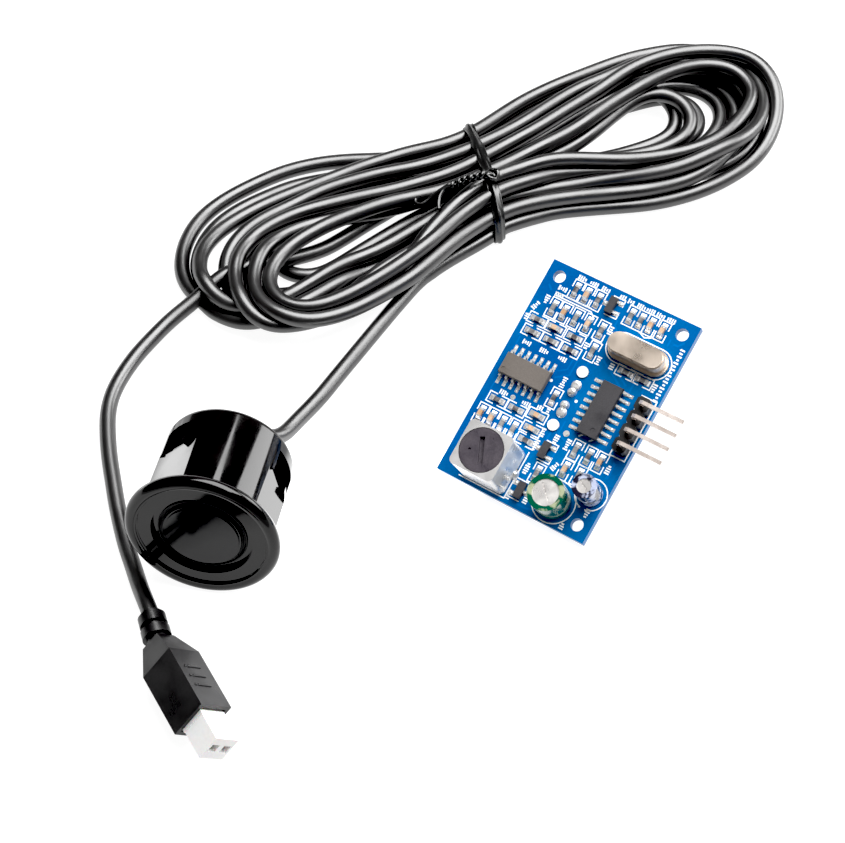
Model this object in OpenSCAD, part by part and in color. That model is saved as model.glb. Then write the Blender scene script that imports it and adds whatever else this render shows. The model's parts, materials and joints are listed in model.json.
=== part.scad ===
// Waterproof ultrasonic ranging kit: a control board, a round sealed probe on a long cable,
// the cable's tied hank and its moulded two-way plug. All sizes are in millimetres.
// The board rests on its lower short edge and on the socket under it, so it leans.
// The probe lies on its side, on the rim of its flange and the back edge of its barrel.

/* [Control board] */
// Board width, along its short side
board_width = 28.5; // [20:0.5:40]
// Board length, along its long side
board_length = 41; // [30:0.5:60]
// Board thickness
board_thick = 1.6; // [0.8:0.1:2.4]
// Radius of each of the three M2 fixing holes
fixing_hole_r = 1.1; // [0.8:0.05:1.8]
// Distance of a fixing hole from the long edge
fixing_inset_x = 2.35; // [1.5:0.05:5]
// Distance of a fixing hole from the short edge
fixing_inset_y = 2.4; // [1.5:0.05:5]
// Lean of the board away from the table
board_tilt = 27.5; // [0:0.5:45]
// Turn of the board on the table
board_turn = -33.5; // [-90:0.5:90]

/* [Header] */
// Pitch of the four header pins
header_pitch = 2.54; // [2:0.01:3]
// Side of a square header pin
header_pin = 0.64; // [0.4:0.01:0.8]
// How far the pins run out past their block
header_reach = 7.8; // [4:0.1:12]

/* [Socket] */
// Height of the cable socket under the board
socket_height = 7.2; // [4:0.1:10]
// Pitch of the two contacts in the socket and in the plug
contact_pitch = 2.5; // [2:0.1:4]

/* [Tuning transformer] */
// Side of the square screening can
can_side = 8.3; // [6:0.1:12]
// Height of the can's top over the board
can_top = 9.2; // [5:0.1:14]
// Radius of the ferrite tuning cup
tuning_r = 3.75; // [2:0.05:5]

/* [Capacitors] */
// Outer radius of the larger electrolytic capacitor
large_cap_r = 3.15; // [2:0.05:5]
// Height of the larger electrolytic capacitor
large_cap_top = 6.6; // [4:0.1:12]
// Outer radius of the smaller electrolytic capacitor
small_cap_r = 2.1; // [1.5:0.05:4]
// Height of the smaller electrolytic capacitor
small_cap_top = 6.3; // [4:0.1:12]

/* [Probe] */
// Radius of the probe's barrel
barrel_r = 10.7; // [8:0.05:14]
// Radius over the rim of the probe's flange
flange_r = 12.65; // [10:0.05:18]
// Length from the front face to the back of the barrel
probe_length = 19.5; // [12:0.1:30]
// Radius of the sounding face
face_r = 6.4; // [4:0.1:9]
// Lift of the sounding face, as the probe lies on its rim
probe_tilt = 6.5; // [0:0.5:20]
// Turn of the probe on the table
probe_turn = -11; // [-90:0.5:90]

/* [Cable] */
// Diameter of the cable's jacket
cable_d = 2.8; // [2:0.1:4]
// Height of the tied hank
hank_height = 8.4; // [5.6:0.1:12]

/* [Hidden] */
$fn = 48;

board_place = [24.6, 4.5, 0];
board_rise = board_length / 2 * sin(board_tilt) + board_thick * cos(board_tilt);
fixing_x = board_width / 2 - fixing_inset_x;
fixing_y = board_length / 2 - fixing_inset_y;
under = -board_thick;

header_at = [12.4, 0.4];
header_high = 4.3;
peg_y = 5.1;
pad_y = 2.6;
logic_at = [-8.6, 0.65];
driver_at = [6.1, 0.5];
crystal_at = [7.1, 11.7];
transformer_at = [-5.8, -15.4];
large_cap_at = [6.45, -16.45];
small_cap_at = [11.5, -12.6];
crystal_lead_x = 2.44;
large_lead_x = 1.25;
small_lead_x = 0.75;
transformer_pin_spots = [[-2.4, 2.6], [0, 2.6], [2.4, 2.6], [-2.4, -2.4], [2.4, -2.4]];

// Chip resistors: x, y and turn of each
resistor_spots = [[-8.1, 17.2, 90], [-3.8, 17.2, 90], [2.6, 17.2, 90], [4.5, 17.2, 90],
  [-10.1, 12.8, 90], [-5.7, 12.8, 90], [-0.7, 12.8, 90], [-0.3, 9, 90],
  [-11.5, 9.8, 0], [-4.2, 9.8, 0], [6.6, 8.2, 0], [9.8, 8.2, 0],
  [-11.3, 7.5, 0], [-7.6, 7.5, 0], [-3.8, 7.5, 0], [-2.2, -1, 90],
  [-10.8, -5.5, 0], [-7.1, -5.5, 0], [-8, -8.8, 90], [-5.8, -8.8, 90],
  [-2.9, -9.5, 0], [5.5, -7.2, 90], [8, -7.2, 90], [8.1, -10.8, 90], [1.6, -13.6, 90]];
// Chip ceramic capacitors: x, y and turn of each
ceramic_spots = [[-6, 17.2, 90], [6.4, 17.2, 90], [8.6, 17.2, 90], [-8, 12.8, 90],
  [-3.3, 12.8, 90], [-8.1, 9.8, 0], [-3.3, -4.9, 0], [-12.2, -8.8, 90],
  [-10.1, -8.8, 90], [-3, -7.3, 0], [10.2, -7.2, 90], [5.5, -10.9, 90]];
// Small transistors: x, y and turn of each
transistor_spots = [[-1.2, 17.4, 0], [0.9, -9.6, 0], [0.6, -17.4, 180]];

probe_place = [-34.7, -25.9, flange_r * cos(probe_tilt) + 1.3 * sin(probe_tilt) + 0.015];
recess_turns = [-43, 77, 197];

cable_r = cable_d / 2;
plug_place = [-38.7, -44, 4.8];
plug_turn = 29;
plug_roll = 45;
// Free stretch from the probe to the hank
probe_route = [[-30.57, -4.64, 10.26], [-29.9, -2.1, 9.5], [-28.6, -0.3, 7.8],
  [-27, 0.8, 5.7], [-25.2, 1.9, 3.8], [-23.4, 3.5, 2.6], [-20.6, 7.6, 2], [-17.4, 12.4, 1.7],
  [-14.1, 18, 1.5], [-10.7, 23.6, 1.45], [-7.2, 29.3, 1.45], [-3.7, 34.9, 1.45], [-0.15, 40.1, 1.5],
  [1.1, 42, 1.7]];
// Free stretch from the hank to the plug
plug_route = [[-39.9, 34.6, 2.7], [-42.2, 32, 2.2], [-47.7, 25.5, 1.6], [-51.3, 19, 1.45],
  [-53.3, 12.7, 1.45], [-53.5, 6, 1.45], [-52.4, -1.1, 1.45], [-50.6, -9.6, 1.45],
  [-49.3, -14.8, 1.55], [-47.6, -20.5, 2], [-45.9, -25.5, 2.8], [-44.5, -29.6, 3.7],
  [-43.4, -32.4, 4.5], [-42.6, -34.63, 4.8], [-41.6, -37.88, 4.8]];
hank_left = [-26.5, 43.5, 16.5];
hank_waist = [11, 63.5, 12];
hank_right = [47.5, 79, 19];
hank_base = 0.7;

// Places its children on the leaning board, with the top face at z = 0
module on_board() {
  translate([board_place[0], board_place[1], board_rise])
    rotate([0, 0, board_turn])
      rotate([board_tilt, 0, 0])
        children();
}

// Places its children on the probe's axis, with the front at z = 0 and the face looking along +z
module on_probe() {
  translate(probe_place)
    rotate([0, 0, probe_turn])
      rotate([90 - probe_tilt, 0, 0])
        children();
}

// Places its children on the plug's axis, with the tip end looking along +z
module on_plug() {
  translate(plug_place)
    rotate([0, 0, plug_turn])
      rotate([90, 0, 0])
        rotate([0, 0, plug_roll])
          children();
}

// A box centred in x and y that stands on z = low
module post(size_x, size_y, low, high) {
  translate([-size_x / 2, -size_y / 2, low])
    cube([size_x, size_y, high - low]);
}

// A square with its corners rounded
module round_square(size_x, size_y, r) {
  square([size_x - 2 * r, size_y], center = true);
  square([size_x, size_y - 2 * r], center = true);
  for (sx = [-1, 1])
    for (sy = [-1, 1])
      translate([sx * (size_x / 2 - r), sy * (size_y / 2 - r)])
        circle(r = r);
}

// A flat shape with two straight sides and round ends
module stadium(length, width) {
  square([length - width, width], center = true);
  for (s = [-1, 1])
    translate([s * (length - width) / 2, 0])
      circle(r = width / 2);
}

// A hole through the board
module drill(x, y, r) {
  translate([x, y, under - 1])
    cylinder(r = r, h = board_thick + 2);
}

// ---- control board ----

module circuit_board() {
  color([0.02, 0.32, 0.68])
    on_board()
      difference() {
        post(board_width, board_length, under, 0);
        drill(-fixing_x, fixing_y, fixing_hole_r);
        drill(fixing_x, fixing_y, fixing_hole_r);
        drill(fixing_x, -fixing_y, fixing_hole_r);
        for (s = [-1, 1]) {
          drill(0, s * peg_y, 1.05);
          drill(0, s * contact_pitch / 2, 0.5);
          drill(crystal_at[0] + s * crystal_lead_x, crystal_at[1], 0.4);
          drill(large_cap_at[0] + s * large_lead_x, large_cap_at[1], 0.4);
          drill(small_cap_at[0] + s * small_lead_x, small_cap_at[1], 0.4);
          translate([transformer_at[0] + s * (can_side / 2 - 0.15), transformer_at[1], 0])
            post(0.7, 2, under - 1, 1);
        }
        for (k = [0:3])
          drill(header_at[0], header_at[1] + (k - 1.5) * header_pitch, 0.5);
        for (spot = transformer_pin_spots)
          drill(transformer_at[0] + spot[0], transformer_at[1] + spot[1], 0.45);
      }
}

module header_block() {
  color([0.05, 0.05, 0.055])
    on_board()
      translate([header_at[0], header_at[1], 0])
        difference() {
          for (k = [0:3])
            translate([0, (k - 1.5) * header_pitch, 0])
              linear_extrude(height = 2.54)
                polygon([[-1.25, -0.8], [-0.75, -1.27], [0.75, -1.27], [1.25, -0.8],
                  [1.25, 0.8], [0.75, 1.27], [-0.75, 1.27], [-1.25, 0.8]]);
          for (k = [0:3])
            translate([0, (k - 1.5) * header_pitch, 0])
              post(header_pin + 0.06, header_pin + 0.06, -1, 4);
        }
}

module header_pins() {
  half = header_pin / 2;
  color([0.85, 0.78, 0.62])
    on_board()
      for (k = [0:3])
        translate([header_at[0], header_at[1] + (k - 1.5) * header_pitch + half, 0])
          rotate([90, 0, 0])
            linear_extrude(height = header_pin)
              polygon([[-half, under - 1.1], [half, under - 1.1], [half, header_high - 0.7],
                [half + 0.38, header_high - half], [header_reach, header_high - half],
                [header_reach + 0.25, header_high - 0.15],
                [header_reach + 0.25, header_high + 0.15],
                [header_reach, header_high + half], [half + 0.1, header_high + half],
                [-half, header_high - 0.45]]);
}

module socket_housing() {
  low = under - socket_height;
  color([0.93, 0.93, 0.9])
    on_board() {
      difference() {
        post(7, 13.2, low, under);
        post(4.8, 5.4, low - 1, under - 1.4);
        translate([0, 0, low])
          post(1.6, 8.2, -1, 2.4);
        for (s = [-1, 1])
          translate([0, s * contact_pitch / 2, 0])
            post(0.74, 0.74, low, 1);
      }
      for (s = [-1, 1])
        translate([0, s * peg_y, under - 0.2])
          cylinder(r = 1, h = board_thick + 0.5);
    }
}

module socket_pins() {
  color([0.86, 0.84, 0.78])
    on_board()
      for (s = [-1, 1])
        translate([0, s * contact_pitch / 2, 0])
          post(0.64, 0.64, under - socket_height + 1.6, 1.1);
}

// Solder at the through pins: a low dome over a flat pad, bored for its pin
module solder_dome(x, y, up, r, high, pin_r) {
  translate([x, y, 0])
    difference() {
      translate([0, 0, up > 0 ? 0.02 : under - 0.02 - high])
        cylinder(r1 = up > 0 ? r : pin_r + 0.25, r2 = up > 0 ? pin_r + 0.25 : r, h = high);
      translate([0, 0, -10])
        cylinder(r = pin_r, h = 20);
    }
}

module solder_joints() {
  color([0.78, 0.78, 0.76])
    on_board() {
      for (s = [-1, 1]) {
        solder_dome(0, s * contact_pitch / 2, 1, 0.85, 0.7, 0.46);
        translate([0, s * pad_y, 0.02])
          cylinder(r1 = 0.95, r2 = 0.55, h = 0.45);
      }
      for (k = [0:3])
        solder_dome(header_at[0], header_at[1] + (k - 1.5) * header_pitch, -1, 0.85, 0.7, 0.46);
      for (spot = transformer_pin_spots)
        solder_dome(transformer_at[0] + spot[0], transformer_at[1] + spot[1], -1, 0.8, 0.35, 0.31);
    }
}

// ---- small-outline chips ----

// One gull-wing lead that leaves the body at x = side and steps down to the board
module gull_lead(side, reach, width) {
  translate([0, width / 2, 0])
    rotate([90, 0, 0])
      linear_extrude(height = width)
        polygon([[side, 0.65], [side + 0.35, 0.65], [reach - 0.75, 0.03], [reach, 0.03],
          [reach, 0.23], [reach - 0.6, 0.23], [side + 0.5, 0.85], [side, 0.85]]);
}

module lead_rows(count, side, reach) {
  for (turn = [0, 180])
    rotate([0, 0, turn])
      for (k = [0:count - 1])
        translate([0, (k - (count - 1) / 2) * 1.27, 0])
          gull_lead(side, reach, 0.42);
}

// Chip body with sloping sides that meet at the lead line
module chip_body(size_x, size_y) {
  x = size_x / 2;
  y = size_y / 2;
  s = 0.14;
  polyhedron(
    points = [[-x + s, -y + s, 0.12], [x - s, -y + s, 0.12], [x - s, y - s, 0.12],
      [-x + s, y - s, 0.12], [-x, -y, 0.65], [x, -y, 0.65], [x, y, 0.65], [-x, y, 0.65],
      [-x, -y, 0.85], [x, -y, 0.85], [x, y, 0.85], [-x, y, 0.85],
      [-x + s, -y + s, 1.5], [x - s, -y + s, 1.5], [x - s, y - s, 1.5], [-x + s, y - s, 1.5]],
    faces = [[0, 1, 2, 3], [0, 4, 5, 1], [1, 5, 6, 2], [2, 6, 7, 3], [3, 7, 4, 0],
      [4, 8, 9, 5], [5, 9, 10, 6], [6, 10, 11, 7], [7, 11, 8, 4],
      [8, 12, 13, 9], [9, 13, 14, 10], [10, 14, 15, 11], [11, 15, 12, 8], [15, 14, 13, 12]]);
}

module logic_chip_body() {
  color([0.36, 0.33, 0.3])
    on_board()
      translate([logic_at[0], logic_at[1], 0])
        rotate([0, 0, 90])
          difference() {
            chip_body(3.9, 8.65);
            translate([-1.2, 3.5, 1.42])
              cylinder(r = 0.4, h = 1);
          }
}

module logic_chip_leads() {
  color([0.85, 0.85, 0.84])
    on_board()
      translate([logic_at[0], logic_at[1], 0])
        rotate([0, 0, 90])
          lead_rows(7, 1.95, 3.05);
}

module driver_chip_body() {
  color([0.2, 0.2, 0.22])
    on_board()
      translate([driver_at[0], driver_at[1], 0])
        difference() {
          chip_body(3.9, 9.9);
          translate([0.7, -3.7, 1.42])
            cylinder(r = 0.45, h = 1);
        }
}

module driver_chip_leads() {
  color([0.85, 0.85, 0.84])
    on_board()
      translate([driver_at[0], driver_at[1], 0])
        lead_rows(8, 1.95, 3.05);
}

// ---- crystal ----

module crystal_can() {
  color([0.8, 0.74, 0.66])
    on_board()
      translate([crystal_at[0], crystal_at[1], 0])
        difference() {
          union() {
            translate([0, 0, 0.75])
              linear_extrude(height = 2.45)
                stadium(10.3, 3.8);
            translate([0, 0, 3.2])
              linear_extrude(height = 0.3)
                stadium(9.9, 3.4);
          }
          translate([0, 0, 0])
            linear_extrude(height = 3.15)
              stadium(9.8, 3.3);
        }
}

module crystal_base() {
  color([0.74, 0.7, 0.64])
    on_board()
      translate([crystal_at[0], crystal_at[1], 0])
        difference() {
          union() {
            translate([0, 0, 0.1])
              linear_extrude(height = 0.65)
                stadium(11.05, 4.65);
            translate([0, 0, 0.75])
              linear_extrude(height = 0.45)
                stadium(9.7, 3.2);
          }
          for (s = [-1, 1])
            translate([s * crystal_lead_x, 0, -1])
              cylinder(r = 0.26, h = 3);
        }
}

module crystal_leads() {
  color([0.8, 0.79, 0.76])
    on_board()
      for (s = [-1, 1])
        translate([crystal_at[0] + s * crystal_lead_x, crystal_at[1], under - 0.9])
          cylinder(r = 0.22, h = board_thick + 2.9);
}

// ---- tuning transformer ----

module transformer_can() {
  inner = can_side - 0.5;
  color([0.86, 0.85, 0.84])
    on_board()
      translate([transformer_at[0], transformer_at[1], 0]) {
        difference() {
          translate([0, 0, 0.15])
            linear_extrude(height = can_top - 0.15)
              round_square(can_side, can_side, 0.9);
          linear_extrude(height = can_top - 0.25)
            round_square(inner, inner, 0.65);
          cylinder(r = tuning_r + 0.1, h = can_top + 1);
        }
        for (s = [-1, 1])
          translate([s * (can_side / 2 - 0.125), 0, 0])
            post(0.25, 1.6, under - 0.45, 0.4);
      }
}

module transformer_frame() {
  color([0.9, 0.88, 0.82])
    on_board()
      translate([transformer_at[0], transformer_at[1], 0])
        difference() {
          union() {
            post(7.7, 7.7, 0.15, 1.4);
            for (sx = [-1, 1])
              for (sy = [-1, 1])
                translate([sx * 3.32, sy * 3.32, 0])
                  post(0.7, 0.7, 1.4, 6.5);
          }
          for (spot = transformer_pin_spots)
            translate([spot[0], spot[1], -1])
              cylinder(r = 0.32, h = 5);
          for (sx = [-1, 1])
            for (sy = [-1, 1])
              translate([sx * 3.85, sy * 3.85, 0])
                rotate([0, 0, 45])
                  post(0.9, 0.9, -1, 8);
        }
}

module transformer_drum() {
  color([0.14, 0.13, 0.13])
    on_board()
      translate([transformer_at[0], transformer_at[1], 1.4]) {
        cylinder(r = 1.7, h = 0.5);
        cylinder(r = 1, h = 5);
        translate([0, 0, 4.5])
          cylinder(r = 2.6, h = 0.5);
      }
}

module transformer_coil() {
  color([0.72, 0.36, 0.16])
    on_board()
      translate([transformer_at[0], transformer_at[1], 3.3])
        difference() {
          cylinder(r = 2.4, h = 2.5);
          translate([0, 0, -1])
            cylinder(r = 1.02, h = 5);
        }
}

module transformer_pins() {
  color([0.8, 0.79, 0.75])
    on_board()
      for (spot = transformer_pin_spots)
        translate([transformer_at[0] + spot[0], transformer_at[1] + spot[1], under - 0.4])
          cylinder(r = 0.3, h = board_thick + 3);
}

module tuning_cup() {
  color([0.18, 0.15, 0.16])
    on_board()
      translate([transformer_at[0], transformer_at[1], 0])
        difference() {
          translate([0, 0, 4])
            cylinder(r = tuning_r, h = 5.15);
          translate([0, 0, 3])
            cylinder(r = 3.05, h = 4.7);
          rotate([0, 0, 24])
            post(0.85, 4.6, 8.5, 10);
          translate([-1.9, -0.7, 8.9])
            cylinder(r = 0.25, h = 1);
        }
}

// ---- electrolytic capacitors ----

// Aluminium can with a shallow vent line across its top
module cap_can(at, r, top, line_turn) {
  translate([at[0], at[1], 0])
    difference() {
      translate([0, 0, 0.6])
        cylinder(r = r - 0.2, h = top - 0.75);
      translate([0, 0, 0])
        cylinder(r = r - 0.5, h = 1.9);
      rotate([0, 0, line_turn])
        post(r * 1.15, 0.18, top - 0.27, top + 1);
    }
}

// Shrunk sleeve round the can, folded over the top and under the foot
module cap_sleeve(at, r, top) {
  translate([at[0], at[1], 0])
    difference() {
      translate([0, 0, 0.45])
        cylinder(r = r, h = top - 0.45);
      translate([0, 0, 0.6])
        cylinder(r = r - 0.2, h = top - 0.75);
      translate([0, 0, -1])
        cylinder(r = r - 0.85, h = top + 5);
    }
}

module cap_bung(at, r, lead_x) {
  translate([at[0], at[1], 0])
    difference() {
      union() {
        translate([0, 0, 0.6])
          cylinder(r = r - 0.5, h = 1.3);
        translate([0, 0, 0.2])
          cylinder(r = r - 0.9, h = 0.5);
      }
      for (s = [-1, 1])
        translate([s * lead_x, 0, -1])
          cylinder(r = 0.26, h = 4);
    }
}

module cap_leads(at, lead_x) {
  for (s = [-1, 1])
    translate([at[0] + s * lead_x, at[1], under - 0.4])
      cylinder(r = 0.24, h = board_thick + 2.2);
}

module large_cap_can() {
  color([0.82, 0.81, 0.79])
    on_board()
      cap_can(large_cap_at, large_cap_r, large_cap_top, -45);
}

module large_cap_sleeve() {
  color([0.05, 0.4, 0.3])
    on_board()
      cap_sleeve(large_cap_at, large_cap_r, large_cap_top);
}

module large_cap_bung() {
  color([0.08, 0.08, 0.08])
    on_board()
      cap_bung(large_cap_at, large_cap_r, large_lead_x);
}

module large_cap_leads() {
  color([0.8, 0.79, 0.76])
    on_board()
      cap_leads(large_cap_at, large_lead_x);
}

module small_cap_can() {
  color([0.8, 0.79, 0.8])
    on_board()
      cap_can(small_cap_at, small_cap_r, small_cap_top, -30);
}

module small_cap_sleeve() {
  color([0.16, 0.12, 0.3])
    on_board()
      cap_sleeve(small_cap_at, small_cap_r, small_cap_top);
}

module small_cap_bung() {
  color([0.08, 0.08, 0.08])
    on_board()
      cap_bung(small_cap_at, small_cap_r, small_lead_x);
}

module small_cap_leads() {
  color([0.8, 0.79, 0.76])
    on_board()
      cap_leads(small_cap_at, small_lead_x);
}

// ---- small parts soldered on the face ----

module place_all(spots) {
  for (spot = spots)
    translate([spot[0], spot[1], 0])
      rotate([0, 0, spot[2]])
        children();
}

module transistor_bodies() {
  color([0.16, 0.14, 0.14])
    on_board()
      place_all(transistor_spots)
        post(1.3, 2.9, 0.1, 1.05);
}

// Thin gull-wing lead of a small transistor
module small_lead(x_dir, y) {
  translate([0, y + 0.21, 0])
    rotate([90, 0, 0])
      linear_extrude(height = 0.42)
        polygon([[x_dir * 0.65, 0.45], [x_dir * 0.85, 0.45], [x_dir * 0.95, 0.02],
          [x_dir * 1.35, 0.02], [x_dir * 1.35, 0.15], [x_dir * 1.05, 0.15],
          [x_dir * 0.92, 0.58], [x_dir * 0.65, 0.58]]);
}

module transistor_leads() {
  color([0.85, 0.85, 0.84])
    on_board()
      place_all(transistor_spots) {
        small_lead(1, 0.95);
        small_lead(1, -0.95);
        small_lead(-1, 0);
      }
}

module resistor_bodies() {
  color([0.24, 0.23, 0.24])
    on_board()
      place_all(resistor_spots)
        post(1, 0.78, 0.05, 0.47);
}

module resistor_ends() {
  color([0.83, 0.83, 0.82])
    on_board()
      place_all(resistor_spots)
        for (s = [-1, 1])
          translate([s * 0.65, 0, 0])
            post(0.3, 0.8, 0.03, 0.49);
}

module ceramic_bodies() {
  color([0.66, 0.48, 0.33])
    on_board()
      place_all(ceramic_spots)
        post(0.9, 0.78, 0.05, 0.78);
}

module ceramic_ends() {
  color([0.83, 0.83, 0.82])
    on_board()
      place_all(ceramic_spots)
        for (s = [-1, 1])
          translate([s * 0.625, 0, 0])
            post(0.35, 0.8, 0.03, 0.8);
}

// ---- probe ----

// Snap recess in the barrel's side: a sloping flat and a pocket with a stepped lug
module snap_recess() {
  rotate([90, 0, 90])
    translate([0, 0, -5])
      linear_extrude(height = 10)
        polygon([[9.65, -2.8], [14, -2.8], [14, -12.2], [9.75, -12.2]]);
  translate([-3.4, 8.7, -16.6])
    cube([6.8, 5, 3.3]);
  translate([-3.4, 9.3, -13.4])
    cube([5, 5, 1.3]);
}

module probe_housing() {
  color([0.03, 0.03, 0.032])
    on_probe()
      difference() {
        rotate_extrude()
          difference() {
            union() {
              translate([0, 1.2 - probe_length])
                square([barrel_r, probe_length - 3]);
              translate([0, -probe_length])
                square([barrel_r - 1.2, 2]);
              translate([barrel_r - 1.2, 1.2 - probe_length])
                circle(r = 1.2);
              translate([flange_r - 1.2, -1.3])
                circle(r = 1.2);
              translate([0, -2.5])
                square([flange_r - 1.2, 1.9]);
              translate([flange_r - 2, -1.2])
                square([0.8, 1]);
            }
            translate([0, -1.5])
              square([8.3, 3]);
            translate([0, -12])
              square([7.35, 13]);
            translate([0, -probe_length - 1])
              square([8.2, 5.15]);
            translate([0, 3.3 - probe_length])
              square([3, probe_length - 13.3]);
          }
        for (turn = recess_turns)
          rotate([0, 0, -turn])
            snap_recess();
      }
}

module isolation_ring() {
  color([0.06, 0.06, 0.065])
    on_probe()
      rotate_extrude()
        difference() {
          union() {
            translate([face_r + 0.05, -11.9])
              square([7.3 - face_r - 0.05, 10.6]);
            translate([5.2, -11.9])
              square([2, 1.2]);
          }
          translate([face_r + 0.48, -1.3])
            circle(r = 0.22);
        }
}

module transducer_cup() {
  color([0.09, 0.09, 0.095])
    on_probe()
      rotate_extrude()
        difference() {
          union() {
            translate([0, -10.6])
              square([face_r, 9.65]);
            translate([0, -1.2])
              square([face_r - 0.35, 0.5]);
          }
          translate([0, -11])
            square([face_r - 0.6, 9.6]);
        }
}

module piezo_disc() {
  color([0.8, 0.74, 0.6])
    on_probe()
      translate([0, 0, -1.95])
        cylinder(r = 4.5, h = 0.5);
}

module wire(x, low, high) {
  translate([x, 0, low])
    cylinder(r = 0.35, h = high - low);
}

module signal_wire() {
  color([0.7, 0.12, 0.1])
    on_probe()
      wire(0.95, 3.4 - probe_length, -2);
}

module ground_wire() {
  color([0.85, 0.85, 0.82])
    on_probe()
      wire(-0.95, 3.4 - probe_length, -2);
}

module damping_pad() {
  color([0.5, 0.47, 0.42])
    on_probe()
      difference() {
        translate([0, 0, -6.4])
          cylinder(r = face_r - 0.65, h = 4.3);
        for (s = [-1, 1])
          translate([s * 0.95, 0, -8])
            cylinder(r = 0.42, h = 8);
      }
}

module potting_fill() {
  color([0.1, 0.1, 0.11])
    on_probe()
      difference() {
        union() {
          translate([0, 0, 0.35 - probe_length])
            cylinder(r = 8.15, h = 3.75);
          translate([0, 0, 3.7 - probe_length])
            cylinder(r = 2.95, h = probe_length - 14.9);
        }
        for (s = [-1, 1])
          translate([s * 0.95, 0, 3.3 - probe_length])
            cylinder(r = 0.38, h = 6);
        translate([0, 0, -probe_length - 0.7])
          cylinder(r = cable_r + 0.02, h = 4.1);
        translate([0, 0, -probe_length - 0.9])
          cylinder(r = 2.5, h = 2);
      }
}

module probe_grommet() {
  color([0.05, 0.05, 0.055])
    on_probe()
      difference() {
        union() {
          translate([0, 0, -probe_length - 2.3])
            cylinder(r1 = 2, r2 = 2.45, h = 3.4);
        }
        translate([0, 0, -probe_length - 3.7])
          cylinder(r = cable_r + 0.02, h = 6);
      }
}

module cable_inner_end() {
  color([0.05, 0.05, 0.055])
    on_probe()
      translate([0, 0, -probe_length - 2.3])
        cylinder(r = cable_r, h = 5.65);
}

// ---- cable, hank and plug ----

function unit(v) = v / norm(v);

// Direction of the route at point k
function heading(path, k) =
  let (a = max(k - 1, 0), b = min(k + 1, len(path) - 1))
    unit(path[b] - path[a]);

// Eight points round the route at point k
function ring(path, k, r) =
  let (d = heading(path, k), side = unit(cross([0, 0, 1], d)), up = cross(d, side))
    [for (j = [0:7]) path[k] + r * (cos(j * 45) * side + sin(j * 45) * up)];

module tube(path, r) {
  n = len(path);
  polyhedron(
    points = [for (k = [0:n - 1]) each ring(path, k, r)],
    faces = concat(
      [[for (j = [0:7]) j]],
      [for (k = [0:n - 2]) for (j = [0:7])
        [k * 8 + j, k * 8 + 8 + j, k * 8 + 8 + (j + 1) % 8, k * 8 + (j + 1) % 8]],
      [[for (j = [7:-1:0]) (n - 1) * 8 + j]]));
}

module probe_cable() {
  color([0.05, 0.05, 0.055])
    tube(probe_route, cable_r);
}

module plug_cable() {
  color([0.05, 0.05, 0.055])
    tube(plug_route, cable_r);
}

// Four-sided link between two round ends, with sides square to the line of centres
module link(a, b) {
  d = unit([b[0] - a[0], b[1] - a[1]]);
  side = [-d[1], d[0]];
  p = [a[0], a[1]];
  q = [b[0], b[1]];
  polygon([p + a[2] * side, p - a[2] * side, q - b[2] * side, q + b[2] * side]);
}

module disc_at(spot) {
  translate([spot[0], spot[1]])
    circle(r = spot[2]);
}

module hank_outline() {
  disc_at(hank_left);
  disc_at(hank_right);
  link(hank_left, hank_waist);
  link(hank_waist, hank_right);
}

module cable_hank() {
  color([0.05, 0.05, 0.055])
    translate([0, 0, hank_base])
      linear_extrude(height = hank_height)
        hank_outline();
}

// Thin band round the hank's waist
module twist_tie() {
  color([0.08, 0.08, 0.08])
    difference() {
      translate([hank_waist[0], hank_waist[1], 0])
        rotate([0, 0, 26.6])
          translate([-0.9, -12.6, 0.05])
            cube([1.8, 25.2, hank_base + hank_height + 0.6]);
      translate([0, 0, hank_base])
        linear_extrude(height = hank_height)
          hank_outline();
    }
}

module plug_relief() {
  color([0.06, 0.06, 0.065])
    on_plug()
      difference() {
        translate([0, 0, -4.7])
          rotate(a = -12, v = [1, 1, 0])
            difference() {
              union() {
                translate([0, 0, -5.5])
                  cylinder(r = 1.75, h = 6.6);
                translate([0, 0, -4.9])
                  cylinder(r = 2.25, h = 1.7);
                translate([0, 0, -2.35])
                  cylinder(r = 2.35, h = 1.6);
              }
              translate([0, 0, -7.3])
                cylinder(r = cable_r + 0.02, h = 6);
            }
        translate([-5, -5, -4.7])
          cube([10, 10, 5]);
      }
}

// Square boot with sloping shoulders at the cable end and a pocket for the white insert
module plug_boot() {
  color([0.1, 0.1, 0.105])
    on_plug()
      difference() {
        union() {
          translate([0, 0, 0])
            post(6.9, 6.6, 0, 11.6);
          translate([0, 3.3, 0])
            rotate([90, 0, 0])
              linear_extrude(height = 6.6)
                polygon([[-3.45, 0], [-1.9, -4.7], [1.9, -4.7], [3.45, 0]]);
        }
        for (s = [-1, 1])
          rotate([0, 90, 0])
            linear_extrude(height = 8, center = true)
              polygon([[5, s * 1.9], [4.7, s * 1.9], [0, s * 3.3], [0, s * 5], [5, s * 5]]);
        post(5.5, 5.2, 9.4, 13);
      }
}

module plug_insert() {
  color([0.94, 0.94, 0.92])
    on_plug()
      difference() {
        union() {
          post(4.6, 5.2, 9.4, 12.2);
          post(4.4, 5, 12, 17.2);
          for (k = [-1, 0, 1])
            translate([2.2, k * 1.5, 12])
              post(0.5, 0.7, 0, 1.2);
        }
        for (s = [-1, 1])
          translate([0, s * contact_pitch / 2, 0])
            post(1.5, 1.5, 13, 18);
        for (s = [-1, 1])
          translate([0, s * contact_pitch / 2, 0])
            post(0.9, 1.1, 9, 14);
      }
}

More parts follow.
